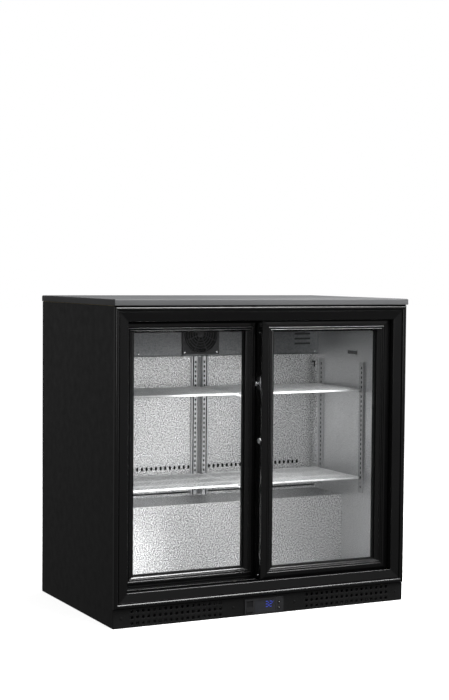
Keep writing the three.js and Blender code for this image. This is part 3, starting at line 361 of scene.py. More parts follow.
def loft(bm, rings, caps=True, closed=False):
    """Quads between successive rings of points. It returns the rings' vertices."""
    made = [[bm.verts.new(p) for p in ring] for ring in rings]
    pairs = list(zip(made, made[1:])) + ([(made[-1], made[0])] if closed else [])
    for a, b in pairs:
        count = len(a)
        for i in range(count):
            j = (i + 1) % count
            bm.faces.new((a[i], a[j], b[j], b[i]))
    if caps and not closed:
        bm.faces.new(made[0])
        bm.faces.new(made[-1])
    return made


def axes_of(direction):
    d = Vector(direction).normalized()
    side = d.cross(Vector((0, 0, 1)) if abs(d.z) < 0.9 else Vector((1, 0, 0))).normalized()
    return d, side, d.cross(side)


def lathe(bm, profile, origin, direction, sides=24):
    """profile of (radius, distance along direction); a zero radius closes the end."""
    d, a, b = axes_of(direction)
    o = Vector(origin)
    rings = []
    for r, t in profile:
        r = max(r, 0.02)
        rings.append([
            o + d * t + (a * math.cos(k * 2 * math.pi / sides) + b * math.sin(k * 2 * math.pi / sides)) * r
            for k in range(sides)
        ])
    loft(bm, rings)


def rod(bm, start, end, radius, sides=10):
    start, end = Vector(start), Vector(end)
    length = (end - start).length
    e = radius * 0.35
    outline = [(radius - e, 0), (radius, e), (radius, length - e), (radius - e, length)]
    lathe(bm, outline, start, end - start, sides)


def bore(piece, start, end, radius):
    """A round hole through a finished piece, given in millimetres."""
    bm = bmesh.new()
    rod(bm, start, end, radius, 24)
    bmesh.ops.scale(bm, vec=(MM, MM, MM), verts=bm.verts)
    bmesh.ops.recalc_face_normals(bm, faces=bm.faces)
    mesh = bpy.data.meshes.new("drill")
    bm.to_mesh(mesh)
    bm.free()
    drill = bpy.data.objects.new("drill", mesh)
    bpy.context.scene.collection.objects.link(drill)
    mod = piece.modifiers.new("bore", "BOOLEAN")
    mod.operation = "DIFFERENCE"
    mod.solver = "EXACT"
    mod.object = drill
    graph = bpy.context.evaluated_depsgraph_get()
    bored = bpy.data.meshes.new_from_object(piece.evaluated_get(graph))
    piece.modifiers.remove(mod)
    piece.data = bored
    bpy.data.objects.remove(drill)


def wire(bm, points, radius, sides=8, closed=False):
    """A round wire through the points."""
    points = [Vector(p) for p in points]
    rings = []
    count = len(points)
    for i, p in enumerate(points):
        before = points[i - 1] if i or closed else p
        after = points[(i + 1) % count] if i < count - 1 or closed else p
        tangent = (after - before).normalized()
        up = Vector((0, 0, 1)) if abs(tangent.z) < 0.9 else Vector((1, 0, 0))
        side = tangent.cross(up).normalized()
        up = side.cross(tangent)
        rings.append([
            p + (side * math.cos(k * 2 * math.pi / sides) + up * math.sin(k * 2 * math.pi / sides)) * radius
            for k in range(sides)
        ])
    loft(bm, rings, closed=closed)


def arc(center, radius, start, end, steps):
    """Points (a, b) of an arc, angles in degrees."""
    points = []
    for i in range(steps + 1):
        t = math.radians(start + (end - start) * i / steps)
        points.append((center[0] + radius * math.cos(t), center[1] + radius * math.sin(t)))
    return points


def bend(u, stops):
    """Piecewise linear map of u."""
    for (a, fa), (b, fb) in zip(stops, stops[1:]):
        if u <= b:
            return fa + (fb - fa) * (u - a) / (b - a)
    return stops[-1][1] + u - stops[-1][0]


STRAIGHT = [(0.0, 0.0), (1.0, 1.0)]


def mitred_side(bm, profile, side, x, y0, z, maps=None, gap=0.12):
    """One member of a rectangular frame. profile: (u from the outer edge inwards, d backwards)."""
    maps = maps or {}
    f = {s: maps.get(s, STRAIGHT) for s in FRAME_SIDES}
    first, last = [], []
    for u, d in profile:
        left, right = x[0] + bend(u, f["left"]), x[1] - bend(u, f["right"])
        low, high = z[0] + bend(u, f["bottom"]), z[1] - bend(u, f["top"])
        y = y0 + d
        ends = {
            "top": ((left + gap, y, high), (right - gap, y, high)),
            "bottom": ((left + gap, y, low), (right - gap, y, low)),
            "left": ((left, y, low + gap), (left, y, high - gap)),
            "right": ((right, y, low + gap), (right, y, high - gap)),
        }[side]
        first.append(ends[0])
        last.append(ends[1])
    loft(bm, [first, last])


def perimeter(n):
    """n points round the unit square, corners included; n is a multiple of 8."""
    points = []
    q = n // 4
    for k in range(n):
        side, t = divmod(k, q)
        s = -1.0 + 2.0 * t / q
        points.append([(1.0, s), (-s, 1.0), (-1.0, -s), (s, -1.0)][side])
    return points


def perforated(bm, to3d, cells, rects, thick, lip=0.4, n=16, power=2.0):
    """A plate in (a, b) with holes: cells are (a, b, half_a, half_b, ra, rb), rects are (a0, a1, b0, b1)."""
    for ca, cb, ha, hb, ra, rb in cells:
        rings = []
        for back in (False, True):
            depth = thick if back else 0.0
            rings.append([to3d(ca + s * ha, cb + t * hb, depth) for s, t in perimeter(n)])
        hole = []
        for s, t in perimeter(n):
            angle = math.atan2(t, s)
            c, q = math.cos(angle), math.sin(angle)
            hole.append((
                math.copysign(abs(c) ** (2.0 / power), c),
                math.copysign(abs(q) ** (2.0 / power), q),
            ))
        for grow, depth in ((lip, 0.0), (lip * 0.3, lip * 0.3), (0.0, lip), (0.0, thick)):
            rings.insert(-1, [to3d(ca + (ra + grow) * s, cb + (rb + grow) * t, depth) for s, t in hole])
        loft(bm, rings, caps=False)
    for a0, a1, b0, b1 in rects:
        for depth in (0.0, thick):
            bm.faces.new([
                bm.verts.new(to3d(a, b, depth)) for a, b in ((a0, b0), (a1, b0), (a1, b1), (a0, b1))
            ])


def rim(bm, to3d, a0, a1, b0, b1, thick):
    """The four cut edges of a plate."""
    corners = [(a0, b0), (a1, b0), (a1, b1), (a0, b1)]
    for (p, q), (r, s) in zip(corners, corners[1:] + corners[:1]):
        quad = ((p, q, 0.0), (r, s, 0.0), (r, s, thick), (p, q, thick))
        bm.faces.new([bm.verts.new(to3d(*v)) for v in quad])


def front_plane(y):
    return lambda a, b, d: (a, y + d, b)


def screw(bm, origin, direction, radius=3.5):
    """Pan head with a small cup at its middle."""
    r = radius
    head = [(r, 0), (r, 0.5), (r * 0.86, 1.2), (r * 0.5, 1.7), (r * 0.34, 1.75), (r * 0.25, 0.9), (0, 0.9)]
    lathe(bm, head, origin, direction, 16)


# ------------------------------------------------------------------ cabinet
BEAD = [(0.0, -1.0)] + [
    (6.4 + 6.2 * math.cos(math.radians(a)), -2.6 - 5.4 * math.sin(math.radians(a)))
    for a in range(180, -1, -12)
] + [
    (13.0, -1.2), (14.4, -1.2), (14.6, -3.4), (15.4, -4.0), (26.0, -2.6), (38.0, -1.0)
] + arc((38.0, 1.0), 2.0, -90, 0, 4)
JAMB = [(0.0, 3.0)] + BEAD + [(40.0, 86.0), (36.0, 86.0), (36.0, 3.0)]
HEADER = [(0.0, 3.0)] + BEAD + [(40.0, 3.0), (26.0, 3.0), (26.0, 86.0), (22.0, 86.0), (22.0, 3.0)]


def build_front_frame():
    for side in FRAME_SIDES:
        bm = bmesh.new()
        upright = side in ("left", "right")
        mitred_side(bm, JAMB if upright else HEADER, side, (-FRAME_X, FRAME_X), FRONT_Y, FRAME_Z)
        finish_piece(bm, f"front_frame_{side}", M["bar_z" if upright else "bar_x"], "cabinet",
                     [f"frame_{side}"])


def build_worktop():
    """A folded sheet: rounded upper edge, small hem below, hollow underneath."""
    corners = ((-1, -1), (1, -1), (1, 1), (-1, 1))

    def ring(inset, z):
        return [(sx * (HALF_WIDTH - inset), sy * (HALF_DEPTH - inset), z) for sx, sy in corners]

    bm = bmesh.new()
    # (inset from the outer edge, height) of each ring
    layers = [
        (1.7, 848.0), (0.5, 848.1), (0.0, 848.8), (0.0, 861.5), (0.5, 863.4), (1.6, 864.6), (3.4, TOP_Z),
    ]
    outer = loft(bm, [ring(inset, z) for inset, z in layers], caps=False)
    bm.faces.new(outer[-1])
    inner = loft(bm, [ring(1.7, z) for z in (848.0, 863.2)], caps=False)
    bm.faces.new(inner[-1])
    for i in range(4):
        j = (i + 1) % 4
        bm.faces.new((outer[0][i], outer[0][j], inner[0][j], inner[0][i]))
    finish_piece(bm, "worktop_cap", M["top"], "cabinet", ["worktop"])


def build_gap_shade_sheets():
    """Painted shade: dark sheets behind two gaps, the one below the worktop's lip and the louvres', for the
    shade inside them.
    """
    bm = bmesh.new()
    box(bm, (-446.5, 446.5), (-267.0, -262.2), (846.1, 847.9))
    box(bm, (-402.0, 402.0), (153.0, 153.6), (708.0, 762.0))
    finish_piece(bm, "gap_shade_sheets", M["gasket_and_shade"], "cabinet")


def build_kick_panel():
    """Two fields of round holes, with a notch for the controller between them."""
    skin, foot = 1.5, 0.3
    notch_x, notch_top = (-61.3, 59.3), 45.3
    bm = bmesh.new()
    place = front_plane(FRONT_Y)
    half = (KICK_HOLE_X[1] - KICK_HOLE_X[0]) / 2
    inner, outer = KICK_HOLE_X[0] - half, KICK_HOLE_X[-1] + half
    low = KICK_ROWS[0][0] - KICK_ROWS[0][1]
    cells = [
        (sign * x, z, half, half_z, 4.0, 4.0)
        for sign in (-1, 1) for x in KICK_HOLE_X for z, half_z in KICK_ROWS
    ]
    spans = ((-FRAME_X, -outer), (-inner, notch_x[0]), (notch_x[1], inner), (outer, FRAME_X))
    rects = [(a0, a1, low, KICK_TOP) for a0, a1 in spans]
    rects += [(-FRAME_X, FRAME_X, foot, low), (*notch_x, notch_top, KICK_TOP)]
    perforated(bm, place, cells, rects, skin, lip=0.7, n=16)
    bmesh.ops.remove_doubles(bm, verts=bm.verts, dist=0.01)
    rim(bm, place, -FRAME_X, FRAME_X, foot, KICK_TOP, skin)
    box(bm, (-446.0, 446.0), (FRONT_Y + skin, FRONT_Y + 14.0), (49.2, 50.4))
    finish_piece(bm, "kick_plate", M["kick"], "cabinet", ["kick_panel"])
    bm = bmesh.new()
    for x in (-425.0, 425.0, -95.0, 95.0):
        screw(bm, (x, FRONT_Y, KICK_ROWS[1][0]), (0, -1, 0), 3.2)
    finish_piece(bm, "kick_screws", M["kick"], "cabinet")


# each segment's two ends, in eighths of the figure's height: x0, z0, x1, z1
SEGMENTS = {
    "a": (0, 8, 6, 8), "b": (6, 8, 6, 4), "c": (6, 4, 6, 0), "d": (0, 0, 6, 0),
    "e": (0, 0, 0, 4), "f": (0, 4, 0, 8), "g": (0, 4, 6, 4),
}


def digit(bm, x, z, height, lit, y):
    """Seven-segment figure drawn with pointed bars: lit names the segments that it shows."""
    s = height / 8.0
    half = 0.075 * height
    for name in lit:
        x0, z0, x1, z1 = SEGMENTS[name]
        p, q = Vector((x + x0 * s * 0.82, 0, z + z0 * s)), Vector((x + x1 * s * 0.82, 0, z + z1 * s))
        d = (q - p).normalized()
        n = Vector((d.z, 0, -d.x)) * half
        a, b = p + d * half * 1.15, q - d * half * 1.15
        outline = [a, a + d * half + n, b - d * half + n, b, b - d * half - n, a + d * half - n]
        loft(bm, [[(v.x, yy, v.z) for v in outline] for yy in (y, y + 0.4)])


def build_controller():
    face = FRONT_Y - 3.0
    bm = bmesh.new()
    digit(bm, 2.5, 20.5, 14.5, "abgcd", face + 0.15)
    digit(bm, 14.5, 20.5, 14.5, "abged", face + 0.15)
    lathe(bm, [(0.9, 0), (0.9, 0.4)], (26.5, face + 0.55, 34.0), (0, -1, 0), 12)
    finish_piece(bm, "display_digits", M["digit"], "cabinet")
    bm = bmesh.new()
    box(bm, (-31.0, -30.2), (face - 0.1, face + 1.0), (4.0, 43.0))
    for x in (-57.5, 56.0):
        for z in (5.6, 41.4):
            lathe(bm, [(1.2, 0), (1.2, 0.3), (0.8, 0.5), (0.0, 0.5)], (x, face, z), (0, -1, 0), 12)
    finish_piece(bm, "controller_trim", M["black"], "cabinet")
    # raised marks on the two buttons
    for name, z, sign in (("button_up", 31.5, 1), ("button_down", 15.5, -1)):
        bm = bmesh.new()
        loft(bm, [[(45 - 1.6, y, z - sign * 1.0), (45 + 1.6, y, z - sign * 1.0), (45, y, z + sign * 1.5)]
                  for y in (face - 1.15, face - 0.9)])
        finish_piece(bm, f"{name}_mark", M["white"], name)


def build_lock_and_knob():
    x, y = DOOR_RIGHT_X, FRONT_DOOR_Y + 12.0
    bm = bmesh.new()
    collar = [(7.4, -11.0), (7.4, 0.0), (9.0, 0.2), (9.2, 1.0), (8.9, 2.4), (7.6, 3.6), (6.0, 4.4)]
    plug = [(5.4, 4.5), (5.1, 3.6), (3.9, 3.4), (3.7, 4.6), (3.2, 5.0), (0.0, 5.0)]
    lathe(bm, collar + plug, (x - 0.6, y, LOCK_Z), (-1, 0, 0), 32)
    finish_piece(bm, "lock_barrel", M["chrome"], "lock_cylinder", ["lock_cylinder"], smooth=40)
    bm = bmesh.new()
    # painted shade: a thin black plate on the plug's face stands in for the dark keyway slot
    box(bm, (x - 6.0, x - 5.5), (y - 0.6, y + 0.6), (LOCK_Z - 2.6, LOCK_Z + 2.6))
    finish_piece(bm, "keyway_shade_mark", M["gasket_and_shade"], "lock_cylinder")
    # the knob stands on a narrow plate with a raised rib
    bm = bmesh.new()
    box(bm, (x - 1.8, x - 0.3), (FRONT_DOOR_Y + 7.5, FRONT_DOOR_Y + 11.0), (KNOB_Z - 19.0, KNOB_Z + 19.0))
    box(bm, (x - 1.2, x - 0.3), (FRONT_DOOR_Y + 6.0, FRONT_DOOR_Y + 30.0), (KNOB_Z - 17.0, KNOB_Z + 17.0))
    neck = [(3.6, 0.0), (3.6, 2.2)]
    head = [(5.0, 3.4), (6.4, 4.2), (6.9, 5.6), (6.6, 7.2), (5.2, 8.3), (2.6, 8.8), (0.0, 8.9)]
    lathe(bm, neck + head, (x - 1.0, FRONT_DOOR_Y + 23.0, KNOB_Z), (-1, 0, 0), 32)
    finish_piece(bm, "door_knob", M["chrome"], "door_right", ["pull_knob"], bevel=0.3)


# ------------------------------------------------------------------ doors
def bead(center, radius):
    """Half round on a door's face, across the section."""
    turns = [math.radians(t) for t in range(0, 181, 20)]
    return [(center[0] - radius * math.cos(t), center[1] - radius * math.sin(t)) for t in turns]


# sections are (inwards from the door's edge, backwards from its face)
DOOR_SECTION = (
    [(0.0, 30.0), (0.0, 1.5), (0.5, 0.5), (1.5, 0.0), (17.2, 0.0), (17.8, 1.4)]
    + bead((20.2, 1.4), 2.1) + [(22.6, 2.4), (24.0, 2.6)]
    + bead((26.0, 2.9), 1.7) + [(28.0, 3.6), (30.0, 4.2), (36.6, 6.4), (37.6, 7.2), (37.8, 8.3), (26.0, 8.3)]
    + [(26.0, 28.0), (37.5, 28.0), (38.0, 29.0), (37.2, 31.4), (36.0, 32.0), (2.0, 32.0), (0.6, 31.4)]
)
# the top and bottom rails are the same extrusion, stretched or squeezed across their width
DOOR_MAPS = {
    "top": [(0.0, 0.0), (17.0, 22.0), (28.0, 33.6), (38.0, 36.5)],
    "bottom": [(0.0, 0.0), (27.6, 27.6), (38.0, 33.0)],
}


PAINTED_HIGHLIGHT_LINES = [((20.2, -0.4), 1.0), ((26.0, 1.5), 0.7)]  # middle and radius of each painted highlight line
SPACER_SECTION = [(28.0, 12.6), (41.0, 12.6), (42.0, 13.4), (42.0, 22.6), (41.0, 23.4), (28.0, 23.4)]
SPACER_MAPS = {
    "bottom": [(0.0, 0.0), (28.0, 24.0), (42.0, 37.0)],
    "top": [(0.0, 0.0), (28.0, 26.0), (42.0, 37.0)],
}
GASKET_SECTION = [(36.8, 6.9)] + arc((38.3, 7.2), 1.1, -150, 60, 5) + [(37.0, 8.25)]


def build_door_bar(name, side, x, y0, z):
    bm = bmesh.new()
    mitred_side(bm, DOOR_SECTION, side, x, y0, z, DOOR_MAPS, 0.08)
    if name == "door_left" and side == "right":
        # the fin that the lock's bolt catches
        fin = x[1] - 15.0
        box(bm, (fin - 1.0, fin + 1.0), (y0 - 2.6, y0 + 0.5), (133.0, 767.0))
    look = M["bar_z" if side in ("left", "right") else "bar_x"]
    replaced = [f"{name}_frame"] if side == "top" else []
    bar = finish_piece(bm, f"{name}_bar_{side}", look, name, replaced, smooth=30)
    if name == "door_right" and side == "left":
        low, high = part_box("lock_bolt")
        bolt_x, bolt_z = ((low[i] + high[i]) / 2 / MM for i in (0, 2))
        bore(bar, (bolt_x, y0 + 9.0, bolt_z), (bolt_x, y0 + 40.0, bolt_z), BOLT_BORE_R)


def build_door(name, x0, y0):
    x = (x0, x0 + DOOR_W)
    z = (DOOR_Z0, DOOR_Z1)
    for side in FRAME_SIDES:
        build_door_bar(name, side, x, y0, z)
    # painted highlight: bright metal lines on the glazing bead along the top rail stand in for the highlight
    # on the black bead
    bm = bmesh.new()
    for middle, radius in PAINTED_HIGHLIGHT_LINES:
        mitred_side(bm, arc(middle, radius, 0, 324, 9), "top", x, y0, z, DOOR_MAPS, 0.1)
    finish_piece(bm, f"{name}_painted_highlight_lines", M["edge"], name, smooth=80)
    # spacer of the sealed unit, between the panes
    bm = bmesh.new()
    for side in FRAME_SIDES:
        mitred_side(bm, SPACER_SECTION, side, x, y0, z, SPACER_MAPS, 0.0)
    finish_piece(bm, f"{name}_spacer", M["gasket_and_shade"], name)
    # glazing gasket against the outer pane
    bm = bmesh.new()
    for side in FRAME_SIDES:
        mitred_side(bm, GASKET_SECTION, side, x, y0, z, DOOR_MAPS, 0.0)
    finish_piece(bm, f"{name}_gasket", M["gasket_and_shade"], name)
    # corner screws in the left stile's edge
    bm = bmesh.new()
    for screw_z in (DOOR_Z0 + 14.0, DOOR_Z1 - 40.0):
        screw(bm, (x[0], y0 + 16.0, screw_z), (-1, 0, 0), 2.6)
    finish_piece(bm, f"{name}_screws", M["chrome"], name)


# ------------------------------------------------------------------ interior
def shelf_piece(name, node, x0, x1, z):
    """A rim with round corners, two bars below it, and thin wires bent over it from front to back."""
    a0, a1 = x0 + SHELF_RIM_R, x1 - SHELF_RIM_R
    y0, y1 = SHELF_Y[0] + SHELF_RIM_R, SHELF_Y[1] - SHELF_RIM_R
    r = 10.0
    turns = (a1 - r, y1 - r, 0), (a0 + r, y1 - r, 90), (a0 + r, y0 + r, 180), (a1 - r, y0 + r, 270)
    corners = [(a, b, z) for cx, cy, start in turns for a, b in arc((cx, cy), r, start, start + 90, 5)]
    bm = bmesh.new()
    wire(bm, corners, SHELF_RIM_R, 12, closed=True)
    for y in (-30.0, 58.0):
        rod(bm, (a0 + 2, y, z - 1.2), (a1 - 2, y, z - 1.2), SHELF_BAR_R, 8)
    for i in range(1, SHELF_WIRES + 1):
        x = a0 + (a1 - a0) * i / (SHELF_WIRES + 1)
        bow = [(x, y0 - 0.6, z + 0.2), (x, y0 + 3.0, z + 2.2), (x, y1 - 3.0, z + 2.2), (x, y1 + 0.6, z + 0.2)]
        wire(bm, bow, SHELF_WIRE_R, 6)
    finish_piece(bm, name, M["wire"], "cabinet", [node], smooth=60)


def build_shelves():
    inner, outer = SHELF_X
    for level, z in SHELF_LEVELS.items():
        shelf_piece(f"wire_shelf_left_{level}", f"shelf_left_{level}", -outer, -inner, z)
        shelf_piece(f"wire_shelf_right_{level}", f"shelf_right_{level}", inner, outer, z)


def strip(bm, to3d, column, z0, z1, holes, slot_half=2.8):
    """One upright: a face with a column of slots, and a flange back from each edge."""
    first = (z0 + z1 - (holes - 1) * SLOT_PITCH) / 2
    half_z = SLOT_PITCH / 2
    levels = [first + i * SLOT_PITCH for i in range(holes)]
    cells = [(column, z, SLOT_CELL, half_z, slot_half, SLOT_HALF_Z) for z in levels]
    low, high = first - half_z, first + (holes - 0.5) * SLOT_PITCH
    left, right = column - SLOT_CELL, column + SLOT_CELL
    rects = [(-SUPPORT_HALF, left, z0, z1), (right, SUPPORT_HALF, z0, z1),
             (left, right, z0, low), (left, right, high, z1)]
    perforated(bm, to3d, cells, rects, SUPPORT_SKIN, lip=0.3, n=16, power=4.0)
    for a in (-SUPPORT_HALF, SUPPORT_HALF):
        inner = a - math.copysign(SUPPORT_SKIN, a)
        outline = [(a, 0.0), (a, SUPPORT_DEPTH), (inner, SUPPORT_DEPTH), (inner, 0.0)]
        loft(bm, [[to3d(p, z, d) for p, d in outline] for z in (z0, z1)])
    bmesh.ops.remove_doubles(bm, verts=bm.verts, dist=0.01)


def build_slot_shade_sheets():
    """Painted shade: black sheets behind the slots of the supports and behind the air outlets, for the shade
    in the cavities behind them.
    """
    bm = bmesh.new()
    for sign in (-1, 1):
        x = sign * 14.5
        box(bm, (x - 4.6, x + 4.6), (152.4, 153.2), (278.0, 684.0))
    for sign in (-1, 1):
        for y in SIDE_SUPPORTS.values():
            box(bm, sorted((sign * 400.6, sign * 401.4)), (y - 4.6, y + 4.6), (294.0, 674.0))
    box(bm, (-396.0, 396.0), (157.6, 158.4), (346.0, 370.0))
    finish_piece(bm, "slot_shade_sheets", M["gasket_and_shade"], "cabinet")


def build_side_support(side, sign, where, y):
    """An upright on a side wall, with two small brackets that a shelf rests on."""
    def place(a, b, d):
        return (sign * (398.2 + d), y + a, b)

    bm = bmesh.new()
    strip(bm, place, 0.0, 292.0, 676.0, 26, slot_half=4.4)
    for level in SHELF_LEVELS.values():
        z = level - 3.3
        box(bm, sorted((sign * 385.0, sign * 398.6)), (y - 6, y + 6), (z - 2.4, z))
        box(bm, sorted((sign * 396.4, sign * 398.0)), (y - 6, y + 6), (z - 12.0, z))
    replaced = [f"pilaster_{side}_{where}"]
    finish_piece(bm, f"support_{side}_{where}", M["side_rail"], "cabinet", replaced)


def build_supports():
    bm = bmesh.new()
    for sign in (-1, 1):
        def place(a, b, d, sign=sign):
            return (sign * 17.0 + a, 150.2 + d, b)
        strip(bm, place, -sign * 2.5, 276.0, 686.0, 28)
    finish_piece(bm, "support_centre", M["smooth"], "cabinet", ["pilaster_centre"])
    build_slot_shade_sheets()
    # painted shade: a dark grey strip between the centre strips stands in for the shade of the recess there
    bm = bmesh.new()
    box(bm, (-5.6, 5.6), (153.6, 154.6), (277.0, 685.0))
    finish_piece(bm, "support_recess_shade", M["channel"], "cabinet")
    for side, sign in (("left", -1), ("right", 1)):
        for where, y in SIDE_SUPPORTS.items():
            build_side_support(side, sign, where, y)


def build_air_duct():
    """The panel over the rear wall: a row of oval outlets, and a long slot near its foot."""
    z0, z1 = DUCT_Z
    half, half_z, middle = 7.5, 10.0, 26.5
    low, high = OUTLET_Z - half_z, OUTLET_Z + half_z
    edge = OUTLET_X[-1] + half
    slot_low, slot_high, slot_inner, slot_outer = 281.0, 286.0, 30.0, 396.0
    cells = [(s * x, OUTLET_Z, half, half_z, 4.0, 6.0) for s in (-1, 1) for x in OUTLET_X]
    rects = [
        (-LINER_X, LINER_X, high, z1),
        (-LINER_X, -edge, low, high),
        (-middle, middle, low, high),
        (edge, LINER_X, low, high),
        (-LINER_X, LINER_X, slot_high, low),
        (-LINER_X, LINER_X, z0, slot_low),
        (-LINER_X, -slot_outer, slot_low, slot_high),
        (-slot_inner, slot_inner, slot_low, slot_high),
        (slot_outer, LINER_X, slot_low, slot_high),
    ]
    bm = bmesh.new()
    place = front_plane(DUCT_Y)
    perforated(bm, place, cells, rects, 1.0, lip=0.5, n=16)
    bmesh.ops.remove_doubles(bm, verts=bm.verts, dist=0.01)
    rim(bm, place, -LINER_X, LINER_X, z0, z1, 1.0)
    finish_piece(bm, "duct_panel", M["liner"], "cabinet", ["air_duct_panel"])


def build_evaporator_cover():
    """A plate with a round hole for the fan, three louvre slots at each end, and a folded foot."""
    z0, z1 = COVER_Z
    levels = [z0]
    for z in LOUVRE_Z:
        levels += [z - LOUVRE_HALF, z + LOUVRE_HALF]
    levels.append(z1)
    rects = []
    for s in (-1, 1):
        rects.append((*sorted((s * LOUVRE_X[1], s * LINER_X)), z0, z1))
        rects.append((*sorted((s * FAN_HALF, s * LOUVRE_X[0])), z0, z1))
        louvres = sorted(s * x for x in LOUVRE_X)
        rects += [(*louvres, low, high) for low, high in zip(levels[::2], levels[1::2])]
    rects += [(-FAN_HALF, FAN_HALF, z0, FAN_Z - FAN_HALF), (-FAN_HALF, FAN_HALF, FAN_Z + FAN_HALF, z1)]
    bm = bmesh.new()
    place = front_plane(COVER_Y)
    perforated(bm, place, [(0.0, FAN_Z, FAN_HALF, FAN_HALF, 55.0, 55.0)], rects, 1.0, lip=0.4, n=48)
    rim(bm, place, -LINER_X, LINER_X, z0, z1, 1.0)
    # (backwards from the cover's face, upwards from its foot)
    foot = [(0.0, 2.0), (0.0, 0.9), (0.9, 0.0), (17.0, 0.0), (17.0, 1.0), (1.4, 1.0), (1.0, 2.0)]
    loft(bm, [[(x, COVER_Y + d, z0 + up) for d, up in foot] for x in (-LINER_X, LINER_X)])
    finish_piece(bm, "evaporator_front", M["cover"], "cabinet", ["evaporator_cover"])


def build_louvre_blades():
    # (backwards from the cover's face, upwards from the slot's middle)
    blade = [(0.6, 3.0), (-1.2, 2.0), (-1.8, -2.6), (-1.0, -2.6), (-0.5, 1.2), (1.2, 2.2)]
    bm = bmesh.new()
    for s in (-1, 1):
        ends = sorted(s * x for x in LOUVRE_X)
        for z in LOUVRE_Z:
            loft(bm, [[(x, COVER_Y + d, z + up) for d, up in blade] for x in ends])
    finish_piece(bm, "louvre_blades", M["grille"], "cabinet")


def build_fan_guard():
    """Rings and spokes in a square frame, with a small cap at the middle."""
    wire_y, frame_y, frame_deep = 147.6, 145.9, 3.6
    bm = bmesh.new()
    for r in (10.0, 18.0, 26.0, 34.0, 42.0, 50.0):
        ring = [(a, wire_y, b) for a, b in arc((0.0, FAN_Z), r, 0, 360 - 7.5, 47)]
        wire(bm, ring, 1.3, 6, closed=True)
    for k in range(8):
        t = math.radians(22.5 + 45 * k)
        c, q = math.cos(t), math.sin(t)
        rod(bm, (9 * c, wire_y, FAN_Z + 9 * q), (54 * c, wire_y, FAN_Z + 54 * q), 1.4, 6)
    lathe(bm, [(10.0, -1.2), (10.0, 0.6), (8.0, 1.6), (0.0, 1.9)], (0, wire_y, FAN_Z), (0, -1, 0), 32)
    place = front_plane(frame_y)
    perforated(bm, place, [(0.0, FAN_Z, FAN_HALF, FAN_HALF, 54.0, 54.0)], [], frame_deep, lip=1.0, n=48)
    rim(bm, place, -FAN_HALF, FAN_HALF, FAN_Z - FAN_HALF, FAN_Z + FAN_HALF, frame_deep)
    replaced = ["evaporator_fan_grille"]
    finish_piece(bm, "fan_guard", M["grille"], "cabinet", replaced, smooth=50)
    bm = bmesh.new()
    for sx in (-1, 1):
        for sz in (-1, 1):
            screw(bm, (sx * 53.0, frame_y, FAN_Z + sz * 53.0), (0, -1, 0), 3.2)
    for x in (-390.0, -200.0, 200.0, 390.0):
        screw(bm, (x, COVER_Y, COVER_Z[0] + 8.0), (0, -1, 0), 3.0)
    finish_piece(bm, "cover_screws", M["chrome"], "cabinet")


def build_probe_clip():
    """A small hook near the right end of the air duct panel."""
    x, y, z = 386.0, 143.0, 664.0
    bm = bmesh.new()
    rod(bm, (x, 154.9, z), (x, 141.0, z), 3.0, 12)
    rod(bm, (x, y, z), (x, y, z - 16.0), 2.2, 12)
    finish_piece(bm, "probe_clip", M["black"], "cabinet")


def build_wall_vent():
    """A small plate with seven ribs, high on the right wall."""
    front, back, low, high = -77.0, -26.0, 697.0, 707.0
    bm = bmesh.new()
    rings = []
    for d in (0.0, 1.4, 1.8):
        y0, y1 = front + 0.6 * d, back - 0.6 * d
        rings.append([(LINER_X - d, y, z) for y, z in ((y1, low), (y0, low), (y0, high), (y1, high))])
    loft(bm, rings)
    for k in range(7):
        y = back - 6.0 - 6.5 * k
        box(bm, (400.2, 401.0), (y - 1.6, y + 1.6), (low + 1.6, high - 1.6))
    finish_piece(bm, "wall_vent", M["vent"], "cabinet")


def build_lamp_holder():
    """A channel behind the diffuser, with a block at each end."""
    ceiling = 814.6
    section = [(-169.0, ceiling), (-169.0, 801.5), (-167.6, 800.6), (-166.3, 801.5), (-166.3, ceiling)]
    bm = bmesh.new()
    loft(bm, [[(x, y, z) for y, z in section] for x in (-374.0, 374.0)])
    for s in (-1, 1):
        box(bm, sorted((s * 370.4, s * 376.0)), (-166.0, -141.0), (802.0, ceiling))
    finish_piece(bm, "lamp_holder", M["white"], "cabinet")


def build_rear_screws():
    bm = bmesh.new()
    for z in (262.0, 450.0, 640.0, 832.0):
        for s in (-1, 1):
            screw(bm, (s * 438.0, 275.0, z), (0, 1, 0), 3.6)
    for x in (-400.0, -200.0, 0.0, 200.0, 400.0):
        screw(bm, (x, 267.0, 224.0), (0, 1, 0), 3.6)
    finish_piece(bm, "rear_screws", M["chrome"], "cabinet")


def build_pipework():
    """Refrigerant tubes from the compressor to the condenser and up the back, and the drier on them."""
    discharge = [
        (100, 180, 110), (80, 200, 112), (40, 214, 118), (-20, 222, 122),
        (-70, 222, 140), (-92, 225, 190), (-118, 225, 200),
    ]
    suction = [(110, 120, 120), (70, 100, 140), (20, 92, 170), (10, 90, 205), (20, 90, 225)]
    bm = bmesh.new()
    wire(bm, discharge, 3.2, 10)
    wire(bm, suction, 4.0, 10)
    finish_piece(bm, "refrigerant_tubes", M["copper"], "cabinet", smooth=60)
    drier = [(3.2, 0), (3.4, 8), (10, 18), (10, 86), (3.4, 96), (3.2, 104)]
    bm = bmesh.new()
    lathe(bm, drier, (30, 200, 88), (-1, 0.3, 0.5), 20)
    finish_piece(bm, "filter_drier", M["copper"], "cabinet", smooth=60)


